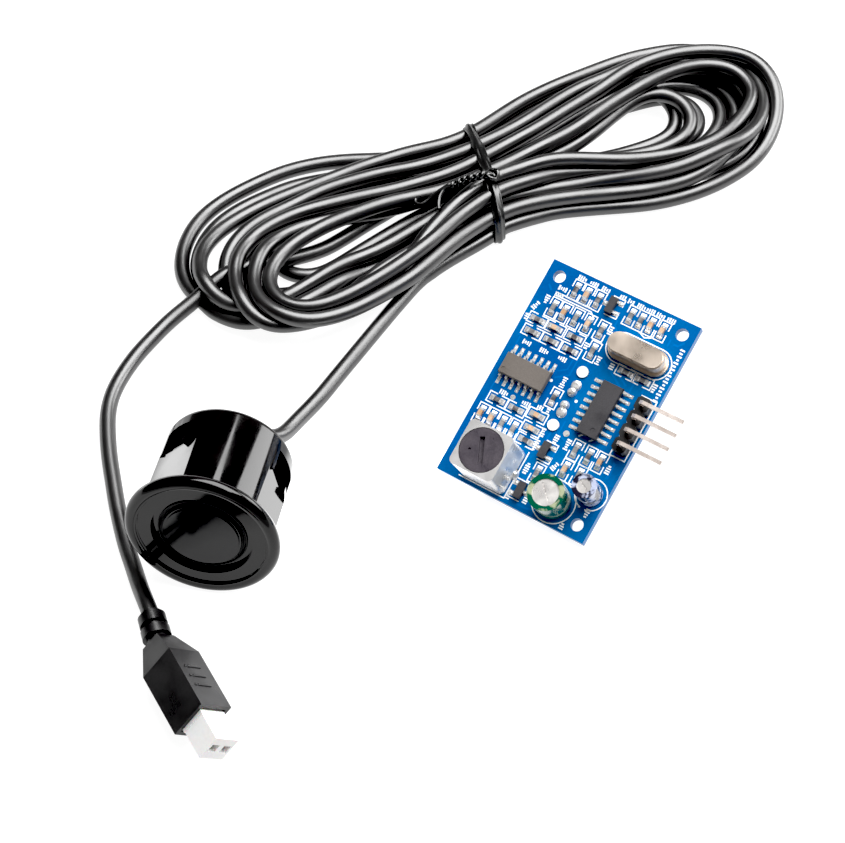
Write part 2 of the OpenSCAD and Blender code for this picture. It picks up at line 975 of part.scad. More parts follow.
// Folded crimp contacts inside the insert, open for the socket's pins
module plug_contacts() {
  color([0.85, 0.8, 0.66])
    on_plug()
      for (s = [-1, 1])
        translate([0, s * contact_pitch / 2, 0])
          difference() {
            post(1.3, 1.3, 13.05, 16.4);
            post(0.8, 0.8, 13.6, 18);
          }
}

circuit_board();
header_block();
header_pins();
socket_housing();
socket_pins();
solder_joints();
logic_chip_body();
logic_chip_leads();
driver_chip_body();
driver_chip_leads();
crystal_can();
crystal_base();
crystal_leads();
transformer_can();
transformer_frame();
transformer_drum();
transformer_coil();
transformer_pins();
tuning_cup();
large_cap_can();
large_cap_sleeve();
large_cap_bung();
large_cap_leads();
small_cap_can();
small_cap_sleeve();
small_cap_bung();
small_cap_leads();
transistor_bodies();
transistor_leads();
resistor_bodies();
resistor_ends();
ceramic_bodies();
ceramic_ends();
probe_housing();
isolation_ring();
transducer_cup();
piezo_disc();
signal_wire();
ground_wire();
damping_pad();
potting_fill();
probe_grommet();
cable_inner_end();
probe_cable();
cable_hank();
plug_cable();
twist_tie();
plug_relief();
plug_boot();
plug_insert();
plug_contacts();
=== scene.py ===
"""Ultrasonic distance sensor: a control board leaning on its own socket, a sealed
round probe, and the tied hank of cable between the probe and its two-way plug."""
import bmesh
import bpy
import json
import math
import numpy as np
from mathutils import Matrix, Vector


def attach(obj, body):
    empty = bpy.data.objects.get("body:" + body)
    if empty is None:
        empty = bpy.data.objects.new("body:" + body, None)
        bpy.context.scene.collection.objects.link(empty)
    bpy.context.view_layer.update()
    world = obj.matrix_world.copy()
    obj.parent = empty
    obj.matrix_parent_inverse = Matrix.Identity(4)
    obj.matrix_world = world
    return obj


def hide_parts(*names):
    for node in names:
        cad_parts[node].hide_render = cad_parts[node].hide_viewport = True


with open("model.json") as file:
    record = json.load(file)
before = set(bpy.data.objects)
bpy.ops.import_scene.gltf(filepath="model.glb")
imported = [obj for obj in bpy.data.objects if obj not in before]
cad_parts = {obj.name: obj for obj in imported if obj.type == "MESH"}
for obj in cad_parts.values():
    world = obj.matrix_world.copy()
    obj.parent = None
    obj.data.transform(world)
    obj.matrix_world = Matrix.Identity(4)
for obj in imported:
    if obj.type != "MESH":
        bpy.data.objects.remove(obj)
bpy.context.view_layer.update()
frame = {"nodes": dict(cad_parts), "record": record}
MM = 0.001

# ---- frames of the three pieces
# Millimetres and degrees, as in the part's source
BOARD_LENGTH, BOARD_THICK, BOARD_TILT, BOARD_TURN = 41, 1.6, 27.5, -33.5
PLUG_TURN = 29
UNDER = -BOARD_THICK


def turn(angle, axis):
    return Matrix.Rotation(math.radians(angle), 4, axis)


def place(x, y, z):
    return Matrix.Translation((x * MM, y * MM, z * MM))


def sin_cos(angle):
    return math.sin(math.radians(angle)), math.cos(math.radians(angle))


board_sin, board_cos = sin_cos(BOARD_TILT)
BOARD_RISE = BOARD_LENGTH / 2 * board_sin + BOARD_THICK * board_cos
ON_BOARD = place(24.6, 4.5, BOARD_RISE) @ turn(BOARD_TURN, "Z") @ turn(BOARD_TILT, "X")
ON_PLUG = place(-38.7, -44, 4.8) @ turn(PLUG_TURN, "Z") @ turn(90, "X") @ turn(45, "Z")
ON_TABLE = Matrix.Identity(4)

# ---- camera
SENSOR_MM, LENS_MM = 36, 93.73
CAMERA_AT, CAMERA_TILT = (0.0003, -0.2295, 0.2938), 39
camera_data = bpy.data.cameras.new("camera")
camera_data.sensor_width = SENSOR_MM
camera_data.lens = LENS_MM
camera_data.clip_start = 0.01
camera = bpy.data.objects.new("camera", camera_data)
bpy.context.collection.objects.link(camera)
camera.location = CAMERA_AT
camera.rotation_euler = (math.radians(CAMERA_TILT), 0, 0)
bpy.context.scene.camera = camera


# ---- materials
def node(tree, kind, **values):
    made = tree.nodes.new(kind)
    for key, value in values.items():
        if key in made.inputs:
            made.inputs[key].default_value = value
        else:
            setattr(made, key, value)
    return made


def mapped(tree, value, span, result):
    """Carries a value from one range to another in a straight line, held at the ends."""
    made = node(tree, "ShaderNodeMapRange")
    names = ("From Min", "From Max", "To Min", "To Max")
    for name, number in zip(names, (*span, *result)):
        made.inputs[name].default_value = number
    tree.links.new(value, made.inputs["Value"])
    return made.outputs["Result"]


NOISE_SPAN = (0.3, 0.7)


def material(name, colour, rough, metal=0.0, level=0.5, coat=0.0, coat_rough=0.06,
             grain=900.0, bump=0.15, depth=0.00003, shade=0.12, rough_shade=0.3,
             tint=None, tint_scale=180.0, tint_amount=0.4, tint_from=0.35, tint_to=0.65,
             stretch=None, ior=1.5, subsurface=0.0):
    """Procedural finish in object coordinates: mottled colour, uneven roughness, fine bump."""
    made = bpy.data.materials.new(name)
    made.use_nodes = True
    tree = made.node_tree
    tree.nodes.clear()
    link = tree.links.new
    out = node(tree, "ShaderNodeOutputMaterial")
    skin = node(tree, "ShaderNodeBsdfPrincipled")
    link(skin.outputs["BSDF"], out.inputs["Surface"])
    where = node(tree, "ShaderNodeTexCoord")
    spot = where.outputs["Object"]
    if stretch:
        scaled = node(tree, "ShaderNodeMapping")
        scaled.inputs["Scale"].default_value = stretch
        link(spot, scaled.inputs["Vector"])
        spot = scaled.outputs["Vector"]
    fine = node(tree, "ShaderNodeTexNoise", Scale=grain, Detail=4.0, Roughness=0.6)
    broad = node(tree, "ShaderNodeTexNoise", Scale=tint_scale, Detail=3.0, Roughness=0.5)
    link(spot, fine.inputs["Vector"])
    link(where.outputs["Object"], broad.inputs["Vector"])
    base = node(tree, "ShaderNodeMix", data_type="RGBA", blend_type="MIX")
    base.inputs[6].default_value = (*colour, 1)
    base.inputs[7].default_value = (*(tint or colour), 1)
    link(mapped(tree, broad.outputs["Fac"], (tint_from, tint_to), (0, tint_amount)),
         base.inputs[0])
    toned = node(tree, "ShaderNodeVectorMath", operation="SCALE")
    link(base.outputs[2], toned.inputs[0])
    link(mapped(tree, fine.outputs["Fac"], NOISE_SPAN, (1 - shade, 1 + shade)),
         toned.inputs["Scale"])
    link(toned.outputs["Vector"], skin.inputs["Base Color"])
    gloss = (max(0.02, rough * (1 - rough_shade)), min(1.0, rough * (1 + rough_shade)))
    link(mapped(tree, broad.outputs["Fac"], NOISE_SPAN, gloss), skin.inputs["Roughness"])
    lump = node(tree, "ShaderNodeBump", Strength=bump, Distance=depth)
    link(fine.outputs["Fac"], lump.inputs["Height"])
    link(lump.outputs["Normal"], skin.inputs["Normal"])
    skin.inputs["Metallic"].default_value = metal
    skin.inputs["Specular IOR Level"].default_value = level
    skin.inputs["IOR"].default_value = ior
    skin.inputs["Coat Weight"].default_value = coat
    skin.inputs["Coat Roughness"].default_value = coat_rough
    if subsurface:
        skin.inputs["Subsurface Weight"].default_value = subsurface
        skin.inputs["Subsurface Scale"].default_value = 0.0006
    return made


MASK = material("mat_board_mask", (0.001, 0.095, 0.315), 0.24, level=0.3, grain=2600,
                bump=0.12, shade=0.08, tint=(0.001, 0.15, 0.40), tint_scale=60, tint_amount=0.7)
BLACK = material("mat_black_plastic", (0.012, 0.012, 0.013), 0.42, grain=2400, bump=0.3,
                 shade=0.25, tint=(0.022, 0.02, 0.02))
GILT = material("mat_gilt_pins", (0.86, 0.74, 0.67), 0.26, metal=0.6, grain=1800, shade=0.05,
                tint=(0.92, 0.86, 0.82), tint_scale=400)
NYLON = material("mat_white_nylon", (0.95, 0.95, 0.94), 0.38, grain=1500, bump=0.1, shade=0.03,
                 tint=(0.97, 0.97, 0.96), subsurface=0.15)
TINNED = material("mat_tinned", (0.86, 0.85, 0.83), 0.26, metal=0.65, grain=2600, bump=0.3,
                  shade=0.08, tint=(0.66, 0.64, 0.62), tint_scale=700)
SOLDER = material("mat_solder", (0.86, 0.85, 0.85), 0.27, metal=0.65, grain=1700, bump=0.5,
                  depth=0.00005, shade=0.12, tint=(0.60, 0.59, 0.60), tint_scale=900)
GREY_EPOXY = material("mat_grey_epoxy", (0.135, 0.118, 0.105), 0.55, grain=5200, bump=0.5,
                      shade=0.16, tint=(0.17, 0.15, 0.135), tint_scale=300)
DARK_EPOXY = material("mat_dark_epoxy", (0.04, 0.038, 0.042), 0.5, grain=5200, bump=0.5,
                      shade=0.2, tint=(0.055, 0.053, 0.058), tint_scale=300)
NICKEL = material("mat_nickel_can", (0.74, 0.63, 0.53), 0.32, metal=1, grain=900, bump=0.0,
                  shade=0.05, tint=(0.80, 0.71, 0.62), tint_scale=160, stretch=(1, 0.25, 1))
TIN_CAN = material("mat_tin_can", (0.84, 0.83, 0.82), 0.28, metal=0.6, grain=700, bump=0.05,
                   shade=0.06, tint=(0.70, 0.69, 0.70), tint_scale=240)
FERRITE = material("mat_ferrite", (0.066, 0.058, 0.070), 0.36, grain=3200, bump=0.35,
                   shade=0.22, tint=(0.10, 0.085, 0.10), tint_scale=500, coat=0.2, coat_rough=0.3)
COPPER = material("mat_copper_wire", (0.62, 0.24, 0.09), 0.25, metal=1, grain=3000, shade=0.1)
BARE = material("mat_bare_aluminium", (0.84, 0.81, 0.79), 0.32, metal=0.6, grain=1800, bump=0.06,
                shade=0.06, tint=(0.9, 0.88, 0.84), tint_scale=500)
# The pale olive tint patches on this sleeve are painted highlights on its glossy rim
GREEN = material("mat_green_sleeve", (0.004, 0.10, 0.055), 0.2, coat=0.6, coat_rough=0.05,
                 grain=1600, bump=0.06, shade=0.12, tint=(0.50, 0.52, 0.34), tint_scale=420,
                 tint_amount=0.8, tint_from=0.53, tint_to=0.6)
BUNG = material("mat_rubber_black", (0.022, 0.022, 0.023), 0.6, grain=2600, bump=0.4, shade=0.2)
# The pale blue-grey tint patches on this sleeve are painted highlights on its glossy rim
VIOLET = material("mat_violet_sleeve", (0.018, 0.017, 0.035), 0.2, coat=0.6, coat_rough=0.05,
                  grain=1600, bump=0.06, shade=0.12, tint=(0.55, 0.60, 0.78), tint_scale=620,
                  tint_amount=0.85, tint_from=0.48, tint_to=0.56)
RESISTOR = material("mat_dark_ceramic", (0.085, 0.08, 0.085), 0.3, coat=0.3, grain=3000,
                    bump=0.08, shade=0.2, tint=(0.27, 0.26, 0.26), tint_scale=620,
                    tint_amount=0.9)
CERAMIC = material("mat_tan_ceramic", (0.50, 0.30, 0.17), 0.4, grain=3600, bump=0.35,
                   shade=0.15, tint=(0.62, 0.45, 0.32), tint_scale=420, tint_amount=0.9)
PROBE = material("mat_probe_black", (0.005, 0.005, 0.0052), 0.08, grain=420, bump=0.05,
                 shade=0.2, tint=(0.012, 0.010, 0.010), rough_shade=0.35)
DISC = material("mat_black_aluminium", (0.012, 0.012, 0.013), 0.12, level=0.45, bump=0.08,
                shade=0.15, tint=(0.02, 0.02, 0.022))
PIEZO = material("mat_piezo_silver", (0.8, 0.75, 0.66), 0.35, metal=1, grain=1500)
RED_WIRE = material("mat_red_wire", (0.5, 0.02, 0.015), 0.4, grain=1500)
WHITE_WIRE = material("mat_white_wire", (0.75, 0.74, 0.7), 0.4, grain=1500)
FELT = material("mat_felt", (0.25, 0.22, 0.18), 0.95, grain=4200, bump=0.9, depth=0.0001)
POTTING = material("mat_potting", (0.016, 0.016, 0.018), 0.18, coat=0.6, grain=300, bump=0.3,
                   depth=0.0002, shade=0.1)
JACKET = material("mat_cable_jacket", (0.0060, 0.0055, 0.0058), 0.34, level=1.0, ior=1.6,
                  grain=1500, bump=0.10, shade=0.25, rough_shade=0.2,
                  tint=(0.012, 0.011, 0.011), tint_scale=120)
TIE = material("mat_tie_black", (0.006, 0.006, 0.006), 0.26, level=1.0, grain=2400, bump=0.3,
               shade=0.2)
BOOT = material("mat_boot_black", (0.009, 0.0085, 0.009), 0.36, level=0.6, grain=2400,
                bump=0.0, shade=0.2, tint=(0.016, 0.015, 0.016))
INK = material("mat_board_print", (0.95, 0.96, 0.96), 0.5, grain=3500, bump=0.3, shade=0.07,
               tint=(0.88, 0.92, 0.95), tint_scale=500)

FINISHES = {finish.name.removeprefix("mat_"): finish for finish in (
    MASK, BLACK, GILT, NYLON, TINNED, SOLDER, GREY_EPOXY, DARK_EPOXY, NICKEL, TIN_CAN, FERRITE,
    COPPER, BARE, GREEN, BUNG, VIOLET, RESISTOR, CERAMIC, PROBE, DISC, PIEZO, RED_WIRE,
    WHITE_WIRE, FELT, POTTING, JACKET, TIE, BOOT)}
SLOT_OF = {part["node"]: part["material_slot"] for part in frame["record"]["subparts"]}
for name, piece in frame["nodes"].items():
    piece.data.materials.clear()
    piece.data.materials.append(FINISHES[SLOT_OF[name]])


# ---- mesh helpers
class Shape:
    """Collects closed solids, in millimetres in one of the frames above."""

    def __init__(self):
        self.points = []
        self.faces = []

    def add(self, points, faces):
        """Takes in one solid, its faces as indices into its own points."""
        first = len(self.points)
        self.points += [tuple(p) for p in points]
        self.faces += [[first + i for i in face] for face in faces]

    def prism(self, outline, low, high):
        """An upright block over a flat outline."""
        count = len(outline)
        ring = [(x, y, z) for z in (low, high) for x, y in outline]
        faces = [list(range(count))[::-1], list(range(count, 2 * count))]
        for i in range(count):
            j = (i + 1) % count
            faces.append([i, j, count + j, count + i])
        self.add(ring, faces)

    def box(self, x, y, size_x, size_y, low, high, angle=0.0):
        c, s = math.cos(math.radians(angle)), math.sin(math.radians(angle))
        corners = []
        for sx, sy in ((-1, -1), (1, -1), (1, 1), (-1, 1)):
            px, py = sx * size_x / 2, sy * size_y / 2
            corners.append((x + px * c - py * s, y + px * s + py * c))
        self.prism(corners, low, high)

    def stroke(self, path, width, low, high, closed=False):
        """A flat line of even width, mitred at its corners, with square ends.

        A closed path must not end on the point where it starts: its seam then has no
        direction, and the mesh loses those corners to the origin."""
        path = [np.array(p, float) for p in path]
        path = [p for i, p in enumerate(path) if i == 0 or (p != path[i - 1]).any()]
        count = len(path)
        left, right = [], []
        for i, p in enumerate(path):
            before = path[i - 1] if (i or closed) else None
            after = path[(i + 1) % count] if (i < count - 1 or closed) else None
            d0 = (p - before) / np.linalg.norm(p - before) if before is not None else None
            d1 = (after - p) / np.linalg.norm(after - p) if after is not None else None
            d0 = d1 if d0 is None else d0
            d1 = d0 if d1 is None else d1
            n0, n1 = np.array((-d0[1], d0[0])), np.array((-d1[1], d1[0]))
            mid = (n0 + n1) / 2
            mid = mid / max(0.35, mid @ mid) * width / 2
            left.append(p + mid)
            right.append(p - mid)
        points = [(x, y, z) for z in (low, high) for side in (left, right) for x, y in side]
        faces = []
        for i in range(count if closed else count - 1):
            j = (i + 1) % count
            la, lb, ra, rb = i, j, count + i, count + j
            top = 2 * count
            faces += [[la, ra, rb, lb], [top + la, top + lb, top + rb, top + ra],
                      [la, lb, top + lb, top + la], [rb, ra, top + ra, top + rb]]
        if not closed:
            top, end = 2 * count, count - 1
            faces += [[0, top, top + count, count],
                      [end, count + end, top + count + end, top + end]]
        self.add(points, faces)

    def lathe(self, profile, x=0.0, y=0.0, sides=48, squash=1.0, angle=0.0):
        """Solid of revolution about z through (x, y), from (radius, z) pairs, ends on the axis."""
        rings, points, faces = [], [], []
        c, s = math.cos(math.radians(angle)), math.sin(math.radians(angle))
        for r, z in profile:
            if r <= 1e-9:
                rings.append([len(points)])
                points.append((x, y, z))
                continue
            rings.append(list(range(len(points), len(points) + sides)))
            for i in range(sides):
                a = 2 * math.pi * i / sides
                px, py = r * math.cos(a), r * squash * math.sin(a)
                points.append((x + px * c - py * s, y + px * s + py * c, z))
        for low, high in zip(rings[:-1], rings[1:]):
            for i in range(sides):
                j = (i + 1) % sides
                if len(low) == 1 and len(high) == 1:
                    continue
                if len(low) == 1:
                    faces.append([low[0], high[j], high[i]])
                elif len(high) == 1:
                    faces.append([low[i], low[j], high[0]])
                else:
                    faces.append([low[i], low[j], high[j], high[i]])
        self.add(points, faces)

    def tube(self, path, radius, sides=12, flat=1.0):
        """A closed round tube along the points, its ends capped."""
        path = np.array(path, float)
        radius = np.broadcast_to(np.asarray(radius, float), (len(path),))
        ahead = np.gradient(path, axis=0)
        ahead /= np.linalg.norm(ahead, axis=1, keepdims=True)
        side = np.cross(ahead[0], (0.0, 0.0, 1.0))
        if np.linalg.norm(side) < 1e-3:
            side = np.cross(ahead[0], (0.0, 1.0, 0.0))
        points, faces = [], []
        for k, p in enumerate(path):
            side = side - ahead[k] * (side @ ahead[k])
            side /= np.linalg.norm(side)
            up = np.cross(side, ahead[k])
            for i in range(sides):
                a = 2 * math.pi * i / sides
                points.append(p + radius[k] * (math.cos(a) * side + flat * math.sin(a) * up))
        for k in range(len(path) - 1):
            for i in range(sides):
                j = (i + 1) % sides
                a, b = k * sides, (k + 1) * sides
                faces.append([a + i, b + i, b + j, a + j])
        last = (len(path) - 1) * sides
        faces.append(list(range(sides)))
        faces.append([last + i for i in range(sides)][::-1])
        self.add(points, faces)

    def make(self, name, matrix, finish, body, smooth=35, bevel=0.0, segments=2):
        mesh = bpy.data.meshes.new(name)
        points = [matrix @ Vector((x * MM, y * MM, z * MM)) for x, y, z in self.points]
        mesh.from_pydata(points, [], self.faces)
        mesh.validate()
        made = bpy.data.objects.new(name, mesh)
        bpy.context.collection.objects.link(made)
        mesh.materials.append(finish)
        tidy_mesh(made, smooth)
        if bevel:
            add_bevel(made, bevel, segments)
        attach(made, body)
        return made


def tidy_mesh(made, smooth):
    """Turns the faces outward and keeps every edge sharper than the given angle hard."""
    work = bmesh.new()
    work.from_mesh(made.data)
    bmesh.ops.recalc_face_normals(work, faces=work.faces)
    limit = math.radians(smooth)
    for face in work.faces:
        face.smooth = smooth > 0
    for edge in work.edges:
        if len(edge.link_faces) == 2 and edge.calc_face_angle(0) > limit:
            edge.smooth = False
    work.to_mesh(made.data)
    work.free()


BEVEL_ANGLE = 30


def add_bevel(made, width, segments=2):
    bevel = made.modifiers.new("edges", "BEVEL")
    bevel.width = width * MM
    bevel.segments = segments
    bevel.limit_method = "ANGLE"
    bevel.angle_limit = math.radians(BEVEL_ANGLE)
    bevel.harden_normals = False


# ---- cable: 20 strands through the tie
# Hank coordinates: s along the hank, n across it, z up, in millimetres from the tie
TIE_AT = np.array((11.5, 62.8))
ALONG = np.array((0.899, 0.437))
ACROSS = np.array((-0.437, 0.899))
CABLE = 2.8


def in_hank(s, n, z):
    flat = TIE_AT + s * ALONG + n * ACROSS
    return np.array((flat[0], flat[1], z))


def gathered(s, n, z):
    """A point of a turn, drawn in towards the middle where the tie holds the near side."""
    near_side = min(max(-n / 11, 0), 1)
    return in_hank(s, n + 2.3 * math.exp(-(s / 15) ** 2) * near_side, z)


FROM_PROBE = [(-30.57, -4.64, 10.26), (-29.9, -2.1, 9.5), (-28.6, -0.3, 7.8), (-27, 0.8, 5.7),
              (-25.2, 1.9, 3.8), (-23.4, 3.5, 2.6), (-20.6, 7.6, 2), (-17.4, 12.4, 1.7),
              (-14.1, 18, 1.5), (-10.7, 23.6, 1.45), (-7.2, 29.3, 1.45), (-3.7, 34.9, 1.45),
              (-0.15, 40.1, 1.45)]
TO_PLUG = [(-25.5, 42.6, 4.3), (-30.8, 41.3, 4.2), (-35.6, 38.4, 4.1), (-40, 34.3, 2.7),
           (-44.4, 30, 1.8), (-47.7, 25.5, 1.5), (-50.1, 21.5, 1.45), (-52.2, 16.7, 1.45),
           (-53.3, 12.7, 1.45), (-53.6, 8.7, 1.45), (-53.1, 3.2, 1.45), (-52.4, -1.1, 1.45),
           (-51.5, -5.4, 1.45), (-50.6, -9.6, 1.45), (-49.6, -13.7, 1.5), (-48.1, -19, 1.8),
           (-46.4, -24, 2.4), (-44.8, -28.8, 3.5), (-43.5, -32.3, 4.5), (-42.6, -34.63, 4.8),
           (-42.3, -35.6, 4.8)]
# Every bow of the hank in its winding order, right and left of the tie by turns
TURNS = [
    [(-14, -14.1, 1.5), (-7, -13.6, 1.9)],
    [(0, -12.6, 2.8), (8, -10.5, 1.8), (15, -11.5, 1.6), (22, -13.5, 1.5), (28.5, -15.5, 1.5),
     (36.5, -16.5, 1.6), (44, -15.5, 1.9), (50.5, -13, 2.6), (56, -9, 3.6), (59.5, -4, 4.8),
     (60.5, 1.5, 6), (58.5, 7, 7), (52, 11, 7.9), (44.5, 12.5, 8.3), (37, 12, 8.4),
     (29.5, 9.5, 8.4), (21.5, 7.5, 8.4), (14, 5.5, 8.3), (7.5, 4.2, 8), (0, 2.9, 7.9)],
    [(-4.5, 2, 7.8), (-11, 2.5, 7.8), (-17.5, 3, 7.7), (-23.5, 4, 7.6), (-29, 4.5, 7.4),
     (-34.5, 5, 7), (-39, 5, 6.4), (-44, 4, 5.6), (-48, 1.5, 4.9), (-51, -3, 4.4), (-52, -8, 4.2),
     (-50.5, -12, 4), (-47.5, -14.5, 3.9), (-42.5, -16, 3.9), (-36.5, -16, 4), (-30.5, -15, 4.4),
     (-23.5, -13, 5), (-16.5, -10, 6), (-8, -6.5, 7.2)],
    [(0, -4.6, 7.8), (6, -5.5, 7.7), (12, -6, 7.6), (19, -8, 7.5), (25.5, -10.5, 7.2),
     (33, -12, 6.8), (40, -12.5, 6.3), (47, -11, 5.6), (53.5, -7, 5), (57.5, -2, 5), (57, 3, 6),
     (52, 6.5, 7), (44.5, 7, 7.9), (36.5, 5.5, 8.2), (28, 3.5, 8.3), (20, 1, 8.3), (12, 0, 8.2),
     (5, -1, 8), (0, -1.2, 7.8)],
    [(-8, -1.5, 7.7), (-13.5, -0.5, 7.7), (-19.5, 0.5, 7.7), (-25, 0.5, 7.7), (-30.5, 0.5, 7.7),
     (-36, -0.5, 7.7), (-41, -2, 7.6), (-45.5, -5, 7.4), (-48, -8.5, 7.2), (-48.5, -12.5, 7.2),
     (-47, -16, 7.2), (-43, -17.5, 7.3), (-38, -17.5, 7.4), (-32, -16.5, 7.6), (-25.5, -15, 7.7),
     (-19, -13, 7.8), (-11.5, -10.5, 7.8)],
    [(0, -8, 7.6), (6, -8, 6.6), (12.5, -7.5, 5.4), (20.5, -8.5, 4), (28, -12, 3),
     (35, -13.5, 2.6), (42.5, -13.5, 2.4), (50.5, -10.5, 2.4), (56.5, -4.5, 2.4), (59.5, 2, 2.5),
     (58, 7.5, 3), (51.5, 11.5, 3.6), (43.5, 12.5, 4.6), (35.5, 12, 5.6), (27.5, 12, 6.6),
     (20, 10.5, 7.2), (12.5, 8.5, 7.4), (7, 7.5, 7.6), (0, 6.6, 7.8)],
    [(-4, 7, 7.2), (-10.5, 7.5, 7), (-17, 9, 6.8), (-22.5, 9.5, 6.5), (-27.5, 10, 6),
     (-33.5, 9, 5.4), (-39, 8, 4.7), (-44.5, 6.5, 4), (-49, 4, 3.5), (-52, -0.5, 3.2),
     (-53.5, -5.5, 3), (-52, -10, 2.8), (-48.5, -12.5, 2.7), (-42.5, -13.5, 2.6),
     (-36, -13.5, 2.6), (-29, -12.5, 2.8), (-21.5, -11, 3.4), (-14, -9, 4)],
    [(0, -6.3, 5), (4, -6.5, 5), (10.5, -7.5, 5), (19, -9, 5), (26.5, -11.5, 4.9),
     (34, -13.5, 4.7), (41.5, -13.5, 4.4), (49.5, -11.5, 4), (56, -7, 3.8), (59.5, -1, 4),
     (59.5, 6, 4.4), (55, 11, 4.8), (48.5, 14, 5), (41, 16.5, 5.1), (33, 17, 5.1),
     (24.5, 16.5, 5.1), (15.5, 15, 5.1), (9, 13, 5), (0, 10.8, 6)],
    [(-2, 10.8, 5.8), (-7.5, 12, 5.4), (-13.5, 12.5, 5.2), (-19.5, 13, 5), (-26.5, 13, 4.8),
     (-32.5, 13, 4.5), (-39, 12.5, 4.2), (-45, 11, 4), (-50.5, 8.5, 3.8), (-54.5, 4, 3.7),
     (-56, -2, 3.6), (-55, -8, 3.6), (-51, -11.5, 3.7), (-45.5, -12.5, 3.8), (-38.5, -12, 4),
     (-31.5, -11, 4.4), (-24, -9, 4.8), (-15, -6, 5), (-7, -4, 5)],
    [(0, -2.8, 5), (10, -2.3, 5.6), (17.5, -2.5, 5.8), (24, -5, 5.8), (31, -6.4, 5.4),
     (37.5, -6.4, 5), (43, -3.9, 4.8), (46, 0.6, 5.2), (44, 5.4, 6), (38.5, 6.8, 6.8),
     (31, 4.6, 7.2), (23.5, 1, 7.4), (15.5, -1.5, 6.8), (8, -0.5, 5.8), (0, 1, 5)],
    [(-10, 0.3, 5), (-16.5, 0.8, 5.2), (-23, 1.3, 5.6), (-28.5, 2.5, 6), (-33.5, 3, 6.2),
     (-38.5, 2.5, 6.2), (-43.5, 0.5, 6.1), (-47, -3, 6), (-49.5, -7, 5.8), (-50.5, -11.5, 5.8),
     (-49, -15.5, 5.8), (-45.5, -18.5, 5.9), (-41, -19.5, 6), (-35.5, -19.5, 6.2),
     (-29.5, -18.5, 6.6), (-23.5, -17.5, 7), (-17.5, -15.5, 7.4), (-11.5, -13.5, 7.2)],
    [(0, -11, 5.6), (10, -10.5, 4), (20, -13, 3.4), (30, -14.5, 3), (40, -14, 2.8), (48, -12, 2.8),
     (54, -7.5, 2.8), (57, -1, 3), (55.5, 6, 3.2), (50, 10, 3.4), (41, 12.5, 3.8), (31, 13.5, 4.2),
     (20, 13, 4.6), (10, 11, 4.6), (0, 8.7, 4.2)],
    [(-6, 10.5, 3.8), (-12.5, 13, 3.2), (-19, 14.5, 2.6), (-25.5, 15.5, 2.4), (-31, 16.5, 2.3),
     (-37, 16, 2.2), (-43.5, 15, 2.2), (-49.5, 12.5, 2.1), (-54.5, 8, 2), (-57.5, 3, 1.8),
     (-57.5, -2.5, 1.7), (-55.5, -7, 1.6), (-52, -10, 1.6), (-46, -12, 1.7), (-40, -12.5, 1.8),
     (-33.5, -13, 1.9), (-26, -12.5, 2), (-16.5, -11.5, 2)],
    [(0, -10, 1.9), (10, -9, 1.5), (20, -11, 1.5), (31, -12.5, 1.5), (41, -12, 1.5), (50, -8, 1.5),
     (54.5, -2, 1.5), (54.5, 5, 1.6), (49, 11, 1.8), (40, 14.5, 2), (30, 15.5, 2.2), (19, 15, 2.2),
     (9, 12.5, 1.9), (0, 10, 1.6)],
    [(-6, 11.8, 1.6), (-12, 14, 1.6), (-17, 16.5, 1.5), (-21, 18.3, 1.5), (-26, 19.8, 1.5),
     (-32, 20.5, 1.5), (-37, 20, 1.5), (-43, 19, 1.5), (-49.5, 16.5, 1.5), (-54, 12.5, 1.5),
     (-57, 8, 1.5), (-58.5, 3, 1.5), (-58, -2.5, 2.2), (-55.5, -8, 3), (-51.5, -12, 3.4),
     (-46, -13, 3.2), (-39, -12, 3), (-31, -10.5, 2.6), (-22, -9, 2.2), (-12, -7.5, 2)],
    [(0, -6.8, 1.9), (10, -6.5, 1.5), (20, -8, 1.5), (30, -9.5, 1.6), (39, -9.5, 1.8),
     (47, -6.5, 2), (51.5, -1, 2.2), (51, 5, 2.4), (45.5, 9.5, 2.4), (36, 11.5, 2.2),
     (26, 11.5, 2), (15, 10, 1.9), (7, 8, 1.9), (0, 6.7, 1.9)],
    [(-9, 8, 1.7), (-18, 10, 1.6), (-27, 11, 1.5), (-36, 10.5, 1.5), (-44, 7.5, 1.5),
     (-49.5, 2.5, 1.5), (-50.5, -3, 1.5), (-47, -7.5, 1.5), (-39, -9.5, 1.6), (-29, -8.5, 1.6),
     (-18, -6.5, 1.7), (-8, -4.5, 1.8)],
    [(0, -3.4, 1.9), (9, -3.5, 1.6), (18, -5, 1.6), (28, -6.5, 1.6), (37, -6.5, 1.7),
     (44.5, -4, 1.9), (48.5, 0.5, 2.2), (47, 5.5, 2.6), (41, 8.5, 2.8), (32, 9, 2.6), (22, 8, 2.2),
     (12, 6, 2), (6, 4.5, 1.9), (0, 3.4, 1.9)],
    [(-9, 4.5, 1.7), (-18, 6.5, 1.6), (-27, 7.5, 1.5), (-35, 6.5, 1.5), (-41.5, 3.6, 1.5),
     (-45.5, -1.4, 1.5), (-43, -6, 1.6), (-36.5, -7.8, 1.6), (-27, -5.5, 1.6), (-17, -3, 1.7),
     (-8, -1, 1.8)],
    [(0, 0, 1.9), (9, -0.8, 1.9), (18, -2.5, 2.2), (27, -4.4, 2.6), (35, -4.6, 3), (41.5, -3, 3.4),
     (45.4, 1.6, 3.8), (43.4, 6.6, 4.2), (37.5, 9, 4.6), (30, 8.8, 4.8), (22, 7.4, 4.9),
     (14, 5.5, 5), (7, 4.8, 5), (0, 4.8, 5)],
    [(-7, 4.4, 4), (-15, 3.6, 2.6), (-23, 1.8, 1.7), (-31, -0.4, 1.5)],
]


